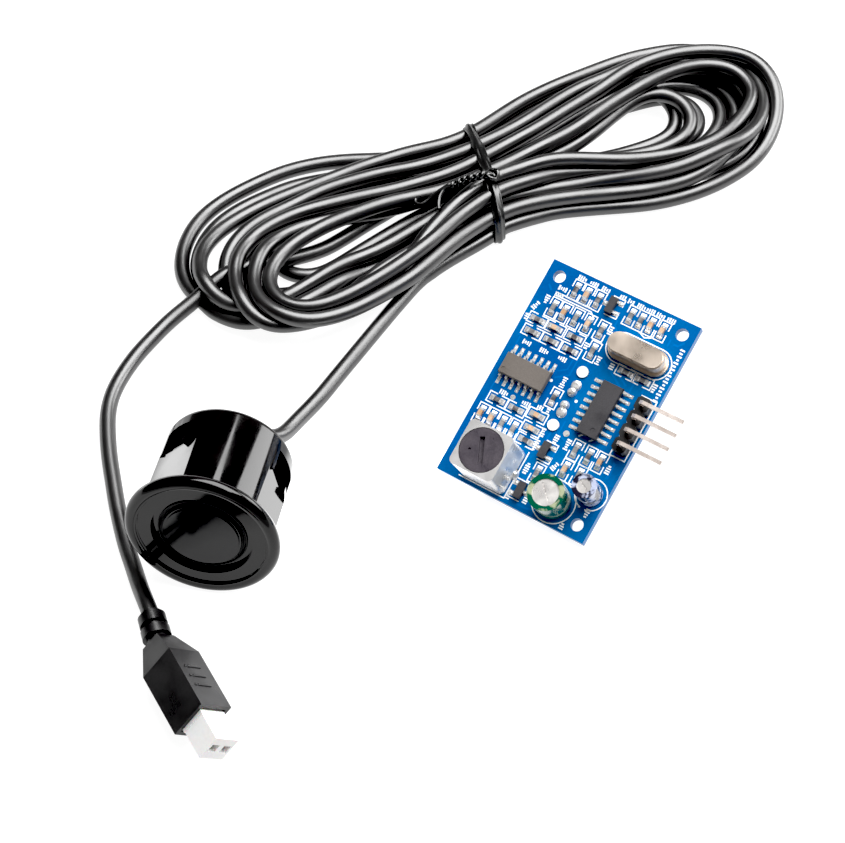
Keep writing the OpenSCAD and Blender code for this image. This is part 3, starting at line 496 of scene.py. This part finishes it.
def spline(knots, step):
    """Centripetal Catmull-Rom curve through the knots, evenly stepped."""
    knots = np.vstack([2 * knots[0] - knots[1], knots, 2 * knots[-1] - knots[-2]])
    out = []
    for i in range(1, len(knots) - 2):
        p0, p1, p2, p3 = knots[i - 1:i + 3]
        t1 = np.linalg.norm(p1 - p0) ** 0.5
        t2 = t1 + np.linalg.norm(p2 - p1) ** 0.5
        t3 = t2 + np.linalg.norm(p3 - p2) ** 0.5
        t = np.linspace(t1, t2, 12, endpoint=False)[:, None]
        a1 = (t1 - t) / t1 * p0 + t / t1 * p1
        a2 = (t2 - t) / (t2 - t1) * p1 + (t - t1) / (t2 - t1) * p2
        a3 = (t3 - t) / (t3 - t2) * p2 + (t - t2) / (t3 - t2) * p3
        b1 = (t2 - t) / t2 * a1 + t / t2 * a2
        b2 = (t3 - t) / (t3 - t1) * a2 + (t - t1) / (t3 - t1) * a3
        out.append((t2 - t) / (t2 - t1) * b1 + (t - t1) / (t2 - t1) * b2)
    return restep(np.vstack(out + [knots[-2:-1]]), step)


def restep(path, step):
    """The same path with points an even step apart."""
    run = np.r_[0, np.cumsum(np.linalg.norm(np.diff(path, axis=0), axis=1))]
    even = np.linspace(0, run[-1], int(round(run[-1] / step)) + 1)
    return np.stack([np.interp(even, run, path[:, k]) for k in range(3)], 1)


def ease(field, rounds):
    """Softens a row of values, its two ends held."""
    for _ in range(rounds):
        field[1:-1] = 0.25 * field[:-2] + 0.5 * field[1:-1] + 0.25 * field[2:]
    return field


# How the turns settle, in millimetres unless it says otherwise
HEAD, TAIL = 40, 52            # points held where the cable comes in and goes out
FLOOR_GAP, SAG = 0.03, 0.012   # clearance over the floor, and how far a turn sinks each round
PARALLEL = 0.85                # cosine above which two stretches count as side by side
GRIP_REACH = 4                 # how far along the hank the tie holds
NEAR_ROOM, FAR_ROOM, OPEN_ROOM = 9.9, 12.1, 30
LID, LID_RISE, LID_REACH = 8.9, 1.8, 40


def settle(path, step, rounds=160, head=HEAD, tail=TAIL):
    """Pushes crossing turns towards a diameter apart, within their bows, floor and tie."""
    rest = ease(path.copy(), 6)
    rest[:head], rest[-tail:] = path[:head], path[-tail:]
    count = len(rest)
    free = np.ones(count)
    free[:head] = free[-tail:] = 0
    free = ease(free[:, None].copy(), 30)[:, 0]
    free[:head - 8] = free[-tail + 8:] = 0
    shift = np.zeros_like(rest)
    path = rest.copy()
    for turn_number in range(rounds):
        if turn_number % 5 == 0:
            square = (path ** 2).sum(1)
            apart = square[:, None] + square[None, :] - 2 * path @ path.T
            a, b = np.nonzero(np.triu(apart < (CABLE + 2) ** 2, 6))
        gap = path[b] - path[a]
        ahead = np.gradient(path, axis=0)
        ahead /= np.linalg.norm(ahead, axis=1, keepdims=True)
        lengthwise = (gap * ahead[a]).sum(1)
        parallel = np.abs((ahead[a] * ahead[b]).sum(1)) > PARALLEL
        level = np.abs(lengthwise) < step * 0.8
        gap = np.where(parallel[:, None], gap - lengthwise[:, None] * ahead[a], gap)
        size = np.linalg.norm(gap, axis=1) + 1e-9
        overlap = np.clip(CABLE - size, 0, None) * np.where(parallel, level, True)
        push = (overlap / size)[:, None] * gap
        total = np.maximum(free[a] + free[b], 1e-6)
        move = np.zeros_like(path)
        hits = np.zeros(count)
        np.add.at(move, a, -push * (free[a] / total)[:, None])
        np.add.at(move, b, push * (free[b] / total)[:, None])
        np.add.at(hits, a, overlap > 0)
        np.add.at(hits, b, overlap > 0)
        shift += 0.7 * move / (np.maximum(hits, 1) ** 0.6)[:, None]
        shift[:, 2] -= SAG
        late = turn_number / rounds
        shift = ease(shift, 3 if late < 0.7 else (2 if late < 0.95 else 1)) * free[:, None]
        path = rest + shift
        low = CABLE / 2 + FLOOR_GAP
        under = (path[:, 2] < low) & (free > 0)
        shift[under, 2] += low - path[under, 2]
        flat = path[:, :2] - TIE_AT
        s, n = flat @ ALONG, flat @ ACROSS
        grip = np.exp(-(s / GRIP_REACH) ** 2)
        room = np.where(n < 0, NEAR_ROOM, FAR_ROOM) * grip + OPEN_ROOM * (1 - grip)
        wide = np.clip(np.abs(n) - room, 0, None) * np.sign(n) * (free > 0)
        shift[:, :2] -= (wide * 0.5)[:, None] * ACROSS
        lid = LID + (1 - grip) * LID_RISE
        high = (path[:, 2] > lid) & (free > 0) & (np.abs(s) < LID_REACH)
        shift[high, 2] -= (path[high, 2] - lid[high]) * 0.5
        path = rest + shift
    return path


def unkink(path, least, rounds=400):
    """Opens every bend that is tighter than the least radius, away from the two ends."""
    for _ in range(rounds):
        back, ahead = path[1:-1] - path[:-2], path[2:] - path[1:-1]
        length = 0.5 * (np.linalg.norm(back, axis=1) + np.linalg.norm(ahead, axis=1))
        cosine = (back * ahead).sum(1) / np.maximum(length ** 2, 1e-9)
        radius = length / np.maximum(np.arccos(np.clip(cosine, -1, 1)), 1e-6)
        tight = np.clip(least / radius - 1, 0, 1)
        if not (tight > 0.01).any():
            break
        tight = np.maximum(ease(tight[:, None].copy(), 6), tight[:, None] * 0.5)
        tight[0] = tight[-1] = 0
        path[1:-1] += 0.25 * np.clip(tight * 1.5, 0, 1) * (ahead - back)
    return path


STEP, FINE_STEP, LEAST_BEND = 1.5, 0.8, 6.2
knots = np.array(FROM_PROBE + [tuple(gathered(*p)) for bow in TURNS for p in bow] + TO_PLUG)
route = unkink(settle(spline(knots, STEP), STEP), LEAST_BEND)
centre = spline(route, FINE_STEP)

cable_data = bpy.data.curves.new("cable", "CURVE")
cable_data.dimensions = "3D"
cable_data.bevel_depth = CABLE / 2 * MM
cable_data.bevel_resolution = 5
cable_data.use_fill_caps = True
line = cable_data.splines.new("POLY")
line.points.add(len(centre) - 1)
line.points.foreach_set("co", np.c_[centre * MM, np.ones(len(centre))].ravel())
line.use_smooth = True
cable = bpy.data.objects.new("cable", cable_data)
bpy.context.collection.objects.link(cable)
cable_data.materials.append(JACKET)
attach(cable, "probe_and_cable")
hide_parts("probe_cable", "cable_hank", "plug_cable")


# ---- twist tie round the waist
TIE_LEAN = np.array((0.235, 0.972))
TIE_NORMAL = np.array((0.972, -0.235))


def hull(points):
    """Convex hull of flat points, anticlockwise."""
    points = sorted(map(tuple, points))

    def half(run):
        chain = []
        for p in run:
            while len(chain) > 1:
                (ax, ay), (bx, by) = chain[-2], chain[-1]
                if (bx - ax) * (p[1] - ay) - (by - ay) * (p[0] - ax) > 0:
                    break
                chain.pop()
            chain.append(p)
        return chain[:-1]

    return np.array(half(points) + half(points[::-1]))


def closed_curve(points, step, rounds):
    """Evenly stepped, softened loop through the points."""
    loop = restep(np.c_[np.vstack([points, points[:1]]), np.zeros(len(points) + 1)], step)[:-1, :2]
    for _ in range(rounds):
        loop = 0.5 * loop + 0.25 * (np.roll(loop, 1, 0) + np.roll(loop, -1, 0))
    return loop


def band(shape, loop, section, flat_at):
    """Sweeps a cross-section of (sideways, outward) pairs round a closed upright loop of (n, z)."""
    count, sides = len(loop), len(section)
    ahead = np.roll(loop, -1, 0) - np.roll(loop, 1, 0)
    ahead /= np.linalg.norm(ahead, axis=1, keepdims=True)
    outward = np.stack([ahead[:, 1], -ahead[:, 0]], 1)
    points, faces = [], []
    for k in range(count):
        roll = flat_at(loop[k])
        c, s = math.cos(roll), math.sin(roll)
        for a, b in section:
            across, out = a * c - b * s, a * s + b * c
            m, z = loop[k] + outward[k] * out
            points.append(in_hank(*(TIE_LEAN * m + TIE_NORMAL * across + (0.3, 0)), max(z, 0.04)))
    for k in range(count):
        for i in range(sides):
            j = (i + 1) % sides
            a, b = k * sides, (k + 1) % count * sides
            faces.append([a + i, a + j, b + j, b + i])
    shape.add(points, faces)


flat = route[:, :2] - TIE_AT
s_run, n_run = flat @ ALONG - 0.3, flat @ ACROSS
near_tie = np.abs(s_run * TIE_NORMAL[0] + n_run * TIE_NORMAL[1]) < 1.3
held = np.c_[(s_run * TIE_LEAN[0] + n_run * TIE_LEAN[1])[near_tie], route[near_tie, 2]]
rim = [h + (CABLE / 2 + 0.16) * np.array((math.cos(a), math.sin(a)))
       for h in held for a in np.linspace(0, 2 * math.pi, 24, endpoint=False)]
tie_loop = closed_curve(hull(rim), 0.45, 3)
tie_loop[:, 1] = np.maximum(tie_loop[:, 1], 0.12)
TIE_SECTION = [(-1.0, -0.06), (1.0, -0.06), (1.06, 0.0), (1.0, 0.09), (0.55, 0.12),
               (0.28, 0.42), (0, 0.52), (-0.28, 0.42), (-0.55, 0.12), (-1.0, 0.09),
               (-1.06, 0.0)]
tie = Shape()
band(tie, tie_loop, TIE_SECTION, lambda p: 0.35 * math.sin(p[0] * 0.55))


def wound(path, radius, pitch, phase):
    """A helix round a path."""
    path = restep(np.array(path, float), 0.25)
    ahead = np.gradient(path, axis=0)
    ahead /= np.linalg.norm(ahead, axis=1, keepdims=True)
    side = np.cross(ahead, (0.0, 0.0, 1.0))
    side /= np.linalg.norm(side, axis=1, keepdims=True)
    up = np.cross(side, ahead)
    angle = np.arange(len(path)) * 0.25 / pitch * 2 * math.pi + phase
    grow = np.minimum(1, np.arange(len(path)) / 6)[:, None]
    return path + grow * radius * (np.cos(angle)[:, None] * side + np.sin(angle)[:, None] * up)


KNOT = [(-0.6, -4.6, 10.15), (-2.2, -4.5, 10.5), (-4.2, -4.0, 10.3), (-6.4, -3.6, 9.9),
        (-8.4, -3.4, 9.3)]
FREE_END = [(-8.4, -3.4, 9.3), (-9.6, -3.4, 8.9), (-10.8, -4.0, 8.4), (-11.7, -5.2, 7.9),
            (-12.1, -6.2, 7.6)]
CURL = [(-8.4, -3.4, 9.3), (-10.4, -2.8, 8.3), (-12.4, -2.9, 7.3), (-14.2, -2.9, 6.7),
        (-14.9, -2.0, 6.6), (-14.4, -1.1, 6.8), (-13.4, -1.2, 7.0)]
knot_path = [in_hank(*p) for p in KNOT]
for phase, end in ((0.0, FREE_END), (math.pi, CURL)):
    twist = wound(knot_path, 0.5, 2.3, phase)
    loose = spline(np.array([twist[-1]] + [in_hank(*p) for p in end[1:]]), 0.25)
    tie.tube(np.vstack([twist[:-1], loose]), 0.42, sides=10, flat=0.75)
for lift in (0, 1):
    ring = [(0.3 + 1.05 * math.cos(a) - 0.9, -4.6 + 1.1 * math.sin(a),
             9.75 + 0.35 * math.sin(2 * a + lift * 1.5) + 0.25 * lift)
            for a in np.linspace(0, 2 * math.pi, 22)]
    tie.tube([in_hank(*p) for p in ring], 0.42, sides=10)
tie_object = tie.make("tie_wrap", ON_TABLE, TIE, "probe_and_cable", smooth=50)
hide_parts("twist_tie")

# ---- plug details
ribs = Shape()
BAR_WIDE = 0.42
LONG_BAR = [(3.40, -1.5), (3.40, 1.5), (3.62, 1.35), (3.62, -1.35)]
SHORT_BAR = [(3.4, 1.7), (3.4, 2.15), (3.6, 2.1), (3.6, 1.75)]
for low in (3.4, 5.3, 7.2):
    for sx in (-1, 1):
        for bar in (LONG_BAR, SHORT_BAR):
            ribs.prism([(sx * x, y) for x, y in bar], low, low + BAR_WIDE)
plug_ribs = ribs.make("plug_grip_ribs", ON_PLUG, BOOT, "probe_and_cable",
                      bevel=0.08)
for name in ("plug_boot", "plug_relief"):
    add_bevel(frame["nodes"][name], 0.3, 3)
add_bevel(frame["nodes"]["plug_insert"], 0.12, 2)

# ---- board: printed marks
RESISTORS = [(-8.1, 17.2, 90), (-3.8, 17.2, 90), (2.6, 17.2, 90), (4.5, 17.2, 90),
             (-10.1, 12.8, 90), (-5.7, 12.8, 90), (-0.7, 12.8, 90), (-0.3, 9, 90), (-11.5, 9.8, 0),
             (-4.2, 9.8, 0), (6.6, 8.2, 0), (9.8, 8.2, 0), (-11.3, 7.5, 0), (-7.6, 7.5, 0),
             (-3.8, 7.5, 0), (-2.2, -1, 90), (-10.8, -5.5, 0), (-7.1, -5.5, 0), (-8, -8.8, 90),
             (-5.8, -8.8, 90), (-2.9, -9.5, 0), (5.5, -7.2, 90), (8, -7.2, 90), (8.1, -10.8, 90),
             (1.6, -13.6, 90)]
CERAMICS = [(-6, 17.2, 90), (6.4, 17.2, 90), (8.6, 17.2, 90), (-8, 12.8, 90), (-3.3, 12.8, 90),
            (-8.1, 9.8, 0), (-3.3, -4.9, 0), (-12.2, -8.8, 90), (-10.1, -8.8, 90), (-3, -7.3, 0),
            (10.2, -7.2, 90), (5.5, -10.9, 90)]
TRANSISTORS = [(-1.2, 17.4, 0), (0.9, -9.6, 0), (0.6, -17.4, 180)]
INK_LOW, INK_HIGH = -0.005, 0.022
# Where the larger parts stand on the board
CRYSTAL, SMALL_CAP, LARGE_CAP = (7.1, 11.7), (11.5, -12.6), (6.45, -16.45)
TRANSFORMER, HEADER, HEADER_PITCH = (-5.8, -15.4), (12.4, 0.4), 2.54


def turned(points, x, y, angle):
    c, s = math.cos(math.radians(angle)), math.sin(math.radians(angle))
    return [(x + px * c - py * s, y + px * s + py * c) for px, py in points]


def round_outline(half_x, half_y, x, y, steps=14):
    """A stadium or circle as a closed line."""
    reach = half_x - half_y
    angles = [(end, -end * math.pi / 2 + math.pi * k / steps)
              for end in (1, -1) for k in range(steps + 1)]
    return [(x + end * reach + half_y * math.cos(a), y + half_y * math.sin(a))
            for end, a in angles]


ink = Shape()


def print_line(path, width=0.2, closed=False):
    ink.stroke(path, width, INK_LOW, INK_HIGH, closed)


for x, y, angle in RESISTORS + CERAMICS:
    for side in (-1, 1):
        bracket = [(side * 0.38, 0.93), (side * 1.78, 0.93), (side * 1.78, -0.93),
                   (side * 0.38, -0.93)]
        print_line(turned(bracket, x, y, angle))
for x, y, angle in TRANSISTORS:
    for side in (-1, 1):
        corner = [(1.7, side * 0.5), (1.7, side * 1.75), (-0.6, side * 1.75)]
        print_line(turned(corner, x, y, angle))
print_line(round_outline(5.95, 2.7, *CRYSTAL), closed=True)
print_line(round_outline(3.75, 3.75, 6.5, -16.45), 0.22, closed=True)
print_line(round_outline(2.75, 2.75, *SMALL_CAP), closed=True)
print_line([(10.95, -5.25), (13.75, -5.25), (13.75, 5.95), (10.95, 5.95)], 0.24, closed=True)
print_line([(-1.35, -11.0), (-1.35, -19.75), (-10.3, -19.75)], 0.22)
print_line([(-11.1, 15.5), (-4.1, 15.5)], 0.22)
print_line([(-11.1, 14.95), (-3.9, 14.95), (-3.0, 14.2)], 0.22)
print_line([(4.9, 15.5), (6.4, 14.9), (7.9, 15.5)])
print_line([(4.7, -4.85), (5.3, -4.35)], 0.3)
print_line([(6.7, -4.85), (7.3, -4.35)], 0.3)
for x, y in ((-4.15, 1.5), (1.45, 0.2)):
    ink.lathe([(0, INK_LOW), (0.28, INK_LOW), (0.28, INK_HIGH), (0, INK_HIGH)], x, y, 16)

# Plain bars stand where a board has its part labels
LABELS = [(-8.1, 19.5, 0, 4), (-5.8, 19.5, 0, 4), (-3.5, 19.5, 0, 4), (-0.2, 19.5, 0, 3),
          (1.4, 19.45, 0, 3), (3.4, 19.45, 0, 4), (5.2, 19.45, 0, 4), (7.1, 19.45, 0, 4),
          (9.1, 19.45, 0, 4), (-10.3, 16.45, 0, 4), (-10.3, 15.2, 0, 4), (-11.9, 13.7, 90, 4),
          (-13.1, 11.9, 70, 4), (-13.5, 9.5, 90, 3), (-11.2, 5.45, 0, 4), (-7.8, 5.45, 0, 4),
          (-4.3, 5.6, 0, 4), (0.75, 13.5, 90, 4), (-1.75, 9.4, 90, 3), (1.35, 8, 90, 4),
          (3.9, 8.1, 90, 3), (12.1, 7.9, 90, 4), (-2.1, 2.1, 90, 5), (-3.5, -3.5, 0, 3),
          (-2, -3.5, 90, 3), (-10.4, -3.95, 0, 4), (-6.0, -3.95, 0, 4), (-1, -7, 90, 4),
          (1.6, -7, 90, 4), (3.8, -7, 90, 5), (12.0, -7.7, 90, 4), (-1.05, -9.4, 90, 5),
          (3.7, -11.2, 70, 4), (-0.4, -13.6, 90, 5), (-0.95, -18.9, 90, 4), (2.1, -18.5, 90, 3),
          (12.4, -15.7, 90, 4), (9.7, -19.5, 90, 3)]
HEIGHTS = (0.86, 0.5, 0.86, 0.66, 0.86)
for number, (x, y, angle, count) in enumerate(LABELS):
    for k in range(count):
        offset = (k - (count - 1) / 2) * 0.42
        tall = HEIGHTS[(number + 2 * k) % len(HEIGHTS)]
        wide = 0.24 if (number + k) % 3 else 0.3
        (bx, by), = turned([(offset, 0)], x, y, angle)
        ink.box(bx, by, wide, tall, INK_LOW, INK_HIGH, angle)
for k in range(17):
    wide = (0.85, 0.6, 0.85, 0.45)[k % 4]
    ink.box(13.3, 15.7 - k * 0.6, wide, 0.3, INK_LOW, INK_HIGH)
ink.make("board_print_top", ON_BOARD, INK, "control_board", smooth=0)

# ---- board: pads, fillets and traces
CHIPS = [(x, y, a, 0.80, 0.44) for x, y, a in RESISTORS] + \
        [(x, y, a, 0.80, 0.62) for x, y, a in CERAMICS]
PAD_TOP, FILLET_HALF, FILLET_SQUEEZE = 0.035, 0.46, 0.12
pads = Shape()
fillets = Shape()
for x, y, angle, reach, tall in CHIPS:
    for side in (-1, 1):
        (px, py), = turned([(side * 0.98, 0)], x, y, angle)
        pads.box(px, py, 0.92, 1.02, 0.0, PAD_TOP, angle)
        steps = [(reach - 0.14, tall), (reach + 0.02, tall * 0.93), (reach + 0.1, tall * 0.55),
                 (reach + 0.22, tall * 0.28), (reach + 0.42, tall * 0.12), (reach + 0.56, 0.03)]
        ring = []
        for d, z in steps:
            w = FILLET_HALF - FILLET_SQUEEZE * (z / tall)
            for s in (-1, 1):
                (qx, qy), = turned([(side * d, s * w)], x, y, angle)
                ring.append((qx, qy, z))
        for s in (-1, 1):
            (qx, qy), = turned([(side * (reach - 0.14), s * FILLET_HALF)], x, y, angle)
            ring.append((qx, qy, 0.02))
        last = len(steps) - 1
        low_a, low_b = 2 * len(steps), 2 * len(steps) + 1
        faces = [[2 * k, 2 * k + 1, 2 * k + 3, 2 * k + 2] for k in range(last)]
        faces.append([2 * last, 2 * last + 1, low_b, low_a])
        faces.append([low_a, low_b, 1, 0])
        faces.append([low_a] + [2 * k for k in range(len(steps))])
        faces.append([low_b] + [2 * k + 1 for k in range(len(steps))])
        fillets.add(ring, faces)
for x, y, angle in TRANSISTORS:
    for px, py in ((1.25, 0.95), (1.25, -0.95), (-1.25, 0)):
        (qx, qy), = turned([(px, py)], x, y, angle)
        pads.box(qx, qy, 0.95, 0.85, 0.0, PAD_TOP, angle)
        (qx, qy), = turned([(px * 1.06, py)], x, y, angle)
        fillets.lathe([(0, 0.02), (0.36, 0.02), (0.28, 0.12), (0.12, 0.2), (0, 0.21)], qx, qy,
                      14, squash=0.85, angle=angle)
for x, y, angle, pins, reach in ((-8.6, 0.65, 90, 7, 3.05), (6.1, 0.5, 0, 8, 3.05)):
    for side in (-1, 1):
        for k in range(pins):
            along = (k - (pins - 1) / 2) * 1.27
            (px, py), = turned([(side * (reach - 0.25), along)], x, y, angle)
            pads.box(px, py, 1.75, 0.62, 0.0, PAD_TOP, angle)
            (px, py), = turned([(side * (reach + 0.02), along)], x, y, angle)
            fillets.lathe([(0, 0.02), (0.42, 0.02), (0.3, 0.11), (0.14, 0.2), (0, 0.22)], px, py,
                          14, squash=0.6, angle=angle)
for r, x, y in ((0.55, 2.7, -5.4), (0.45, -8.6, -3.95)):
    pads.lathe([(0, 0.0), (r, 0.0), (r, PAD_TOP), (0, PAD_TOP)], x, y, 20)
pads.make("solder_pads", ON_BOARD, TINNED, "control_board", smooth=0,
          bevel=0.015, segments=1)
fillets.make("solder_fillets", ON_BOARD, SOLDER, "control_board", smooth=60)

TRACE = material("mat_board_trace", (0.002, 0.125, 0.385), 0.24, level=0.3,
                 grain=2600, bump=0.12, shade=0.06, tint=(0.006, 0.2, 0.58), tint_scale=60)
TRACES = [
    ([(2.2, 8.4), (4.6, 7), (6.9, 5.6)], 0.35), ([(3, 9), (5.4, 7.6), (7.7, 6.2)], 0.35),
    ([(-1.8, 8.3), (-1.8, 3.6), (-3.9, 2.2)], 0.3), ([(-12.8, 6), (-12.8, 3.4)], 0.3),
    ([(-2.6, 6.4), (-2.6, 4.4), (-4, 3.4)], 0.25), ([(0, 6.6), (0, 7.2), (-0.9, 7.4)], 0.3),
    ([(10.7, 8.2), (10.7, 6.2)], 0.4), ([(8.7, 7.2), (8.7, 5.4)], 0.3),
    ([(1.5, -3.6), (1.5, -6), (3, -6.6)], 0.25), ([(0.2, -6.3), (0.2, -8)], 0.4),
    ([(2.6, -8.6), (2.6, -11.6), (1.8, -12.2)], 0.3), ([(12.5, -6.2), (12.5, -9.2)], 0.5),
    ([(-12.8, -1.8), (-12.8, -6.6)], 0.25), ([(-4.8, -3), (-4.8, -6.8)], 0.25),
    ([(13, 17), (12.2, 16), (11.4, 16)], 0.35), ([(-12.9, 16.2), (-12, 15.4)], 0.35),
    ([(10.6, 16.6), (10.6, 15.2)], 0.3), ([(0.9, 15.6), (0.9, 14.6), (1.8, 13.8)], 0.3),
    ([(-13.2, 8.4), (-13.2, 6)], 0.3), ([(1, -19.6), (3, -19.6), (4.4, -19.2)], 0.35),
]
BACK_TRACES = [
    ([(-12.5, 15.5), (-9.5, 15.5), (-5, 11), (-5, 6.5), (-2.4, 3.6)], 0.5),
    ([(12, 12.5), (9, 12.5), (4.5, 8), (4.5, 5.5), (2.4, 3.4)], 0.5),
    ([(12.4, 4.2), (9.5, 4.2), (7, 6.7), (7, 10.5)], 0.35),
    ([(12.4, 1.7), (8.8, 1.7), (5.2, 1.7)], 0.35),
    ([(12.4, -0.9), (8.6, -0.9), (6.2, -3.3), (6.2, -9), (8.6, -11.4)], 0.35),
    ([(12.4, -3.4), (10.2, -5.6), (10.2, -9.6)], 0.6),
    ([(-5.8, -11), (-5.8, -8), (-2.6, -4.8), (-2.6, -3)], 0.5),
    ([(-8.2, -18.4), (-11.6, -15), (-11.6, -4), (-9, -1.4)], 0.4),
    ([(-3.4, -18.2), (0.8, -18.2), (4, -18.2)], 0.6),
    ([(-11.8, 10.4), (-11.8, 2), (-8.8, -1), (-6, -1)], 0.3),
    ([(-10.6, 10.4), (-10.6, 3), (-8, 0.4), (-6, 0.4)], 0.3),
    ([(-9.4, 10.4), (-9.4, 4), (-7.2, 1.8), (-6, 1.8)], 0.3),
]
traces = Shape()
for path, width in TRACES:
    traces.stroke(path, width, -0.01, 0.014)
for path, width in BACK_TRACES:
    traces.stroke(path, width, UNDER - 0.014, UNDER + 0.01)
traces.make("board_traces", ON_BOARD, TRACE, "control_board", smooth=0)

# ---- board: joints on both sides
joints = Shape()


def solder_cone(x, y, side, foot, neck, tall, sides=24, lean=1.0):
    """A wetted joint: a broad foot that rises to a blunt, slightly uneven crown."""
    base = 0.0 if side > 0 else UNDER
    profile = [(0, -0.02), (foot, -0.02), (foot * 0.97, 0.07), (foot * 0.84, tall * 0.3),
               (foot * 0.68 + neck * 0.2, tall * 0.55), (neck * 1.08, tall * 0.8),
               (neck * 0.72, tall * 0.95), (neck * 0.3, tall), (0, tall * 1.01)]
    joints.lathe([(r, base + side * z) for r, z in profile], x, y, sides, squash=lean,
                 angle=20 * x + 35 * y)


for side in (-1, 1):
    solder_cone(0.05, side * 1.25, 1, 0.86, 0.6, 0.72, lean=0.96)
    solder_cone(0.15, side * 2.55, 1, 1.0, 0.74, 0.46, lean=0.93)
    joints.box(0.05, side * 1.25, 0.52, 0.5, 0.3, 1.0, 8)
for k in range(4):
    y = HEADER[1] + (k - 1.5) * HEADER_PITCH
    solder_cone(HEADER[0], y, -1, 0.85, 0.5, 0.75)
    joints.box(HEADER[0], y, 0.6, 0.6, UNDER - 1.0, UNDER - 0.3)
for px, py in ((-2.4, 2.6), (0, 2.6), (2.4, 2.6), (-2.4, -2.4), (2.4, -2.4)):
    solder_cone(TRANSFORMER[0] + px, TRANSFORMER[1] + py, -1, 0.8, 0.36, 0.5)
for (x, y), half, foot, neck, tall in ((CRYSTAL, 2.44, 0.8, 0.34, 0.6),
                                       (LARGE_CAP, 1.25, 0.85, 0.36, 0.6),
                                       (SMALL_CAP, 0.75, 0.62, 0.3, 0.5),
                                       (TRANSFORMER, 4.1, 1.0, 0.5, 0.55)):
    for s in (-1, 1):
        solder_cone(x + s * half, y, -1, foot, neck, tall)
solder_cone(-1.72, -15.5, 1, 0.75, 0.42, 0.85, lean=1.25)
joint_lumps = joints.make("solder_lumps", ON_BOARD, SOLDER, "control_board",
                          smooth=55)
lumpy = bpy.data.textures.new("solder_lumpy", "CLOUDS")
lumpy.noise_scale = 0.0009
ripple = joint_lumps.modifiers.new("uneven", "DISPLACE")
ripple.texture = lumpy
ripple.texture_coords = "LOCAL"
ripple.strength = 0.00012
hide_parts("solder_joints")

# ---- softened edges of the CAD pieces
for (width, segments), names in {
        (0.1, 2): "circuit_board header_pins small_cap_can",
        (0.12, 2): "header_block crystal_base tuning_cup",
        (0.15, 2): "socket_housing large_cap_can",
        (0.07, 2): "logic_chip_body driver_chip_body",
        (0.05, 2): "logic_chip_leads driver_chip_leads resistor_bodies",
        (0.3, 4): "transformer_can",
        (0.35, 4): "large_cap_sleeve",
        (0.25, 4): "small_cap_sleeve",
        (0.08, 2): "transistor_bodies ceramic_bodies ceramic_ends",
        (0.04, 2): "transistor_leads",
        (0.06, 2): "resistor_ends",
        (0.45, 4): "crystal_can"}.items():
    for name in names.split():
        add_bevel(frame["nodes"][name], width, segments)

# ---- floor, light and surroundings
floor_mesh = bpy.data.meshes.new("floor")
floor_mesh.from_pydata([(-6, -4, 0), (6, -4, 0), (6, 8, 0), (-6, 8, 0)], [], [[0, 1, 2, 3]])
floor = bpy.data.objects.new("floor", floor_mesh)
bpy.context.collection.objects.link(floor)
paper = material("mat_floor", (0.86, 0.86, 0.86), 0.7, level=0.2, grain=60, bump=0.0, shade=0.01)
skin = paper.node_tree.nodes["Principled BSDF"]
tree = paper.node_tree
spot = node(tree, "ShaderNodeTexCoord").outputs["Object"]
split = node(tree, "ShaderNodeSeparateXYZ")
tree.links.new(spot, split.inputs["Vector"])


def combined(operation, first, second):
    made = node(tree, "ShaderNodeMath", operation=operation)
    tree.links.new(first, made.inputs[0])
    if isinstance(second, float):
        made.inputs[1].default_value = second
    else:
        tree.links.new(second, made.inputs[1])
    return made.outputs[0]


# The paper glows white, as painted light; painted shade darkens it in front of the parts, and
# painted light makes it a little lighter to their left
front = mapped(tree, split.outputs["Y"], (-0.086, -0.074), (0.075, 0.20))
side = mapped(tree, split.outputs["X"], (-0.082, -0.074), (0.02, 0.0))
paper_with_painted_light = combined("ADD", front, side)
tree.links.new(paper_with_painted_light, skin.inputs["Base Color"])
glow = combined("MULTIPLY", paper_with_painted_light, 4.7)
# Painted pools of light on the paper, beside the probe and just off its left, placed for the
# probe's sides to reflect
for gx, gy, core, edge, extra in ((-0.009, -0.007, 0.009, 0.020, 1.9),
                                  (-0.097, 0.042, 0.014, 0.0195, 3.2)):
    reach = node(tree, "ShaderNodeVectorMath", operation="DISTANCE")
    reach.inputs[1].default_value = (gx, gy, 0)
    tree.links.new(spot, reach.inputs[0])
    glow = combined("ADD", glow, mapped(tree, reach.outputs["Value"], (edge, core), (0, extra)))
tree.links.new(glow, skin.inputs["Emission Strength"])
skin.inputs["Emission Color"].default_value = (1, 1, 1, 1)
floor_mesh.materials.append(paper)


def area_light(name, at, aim, size_x, size_y, watts):
    data = bpy.data.lights.new(name, "AREA")
    data.shape = "RECTANGLE"
    data.size, data.size_y = size_x, size_y
    data.energy = watts
    made = bpy.data.objects.new(name, data)
    bpy.context.collection.objects.link(made)
    made.location = at
    made.rotation_euler = (Vector(aim) - Vector(at)).to_track_quat("-Z", "Y").to_euler()


area_light("overhead", (0.24, 0.20, 0.70), (0.17, 0.12, 0), 0.8, 0.7, 14)
area_light("right_card", (0.62, 0.30, 0.25), (0, 0.02, 0.02), 0.4, 0.35, 3.2)
WORLD_GLOW, BLACK_LEVEL = 0.14, 0.022
world = bpy.data.worlds.new("studio")
world.use_nodes = True
sky = world.node_tree.nodes["Background"]
sky.inputs["Color"].default_value = (1, 1, 1, 1)
sky.inputs["Strength"].default_value = WORLD_GLOW
bpy.context.scene.world = world
view = bpy.context.scene.view_settings
view.view_transform = "Standard"
view.use_curve_mapping = True
view.curve_mapping.black_level = (BLACK_LEVEL,) * 3
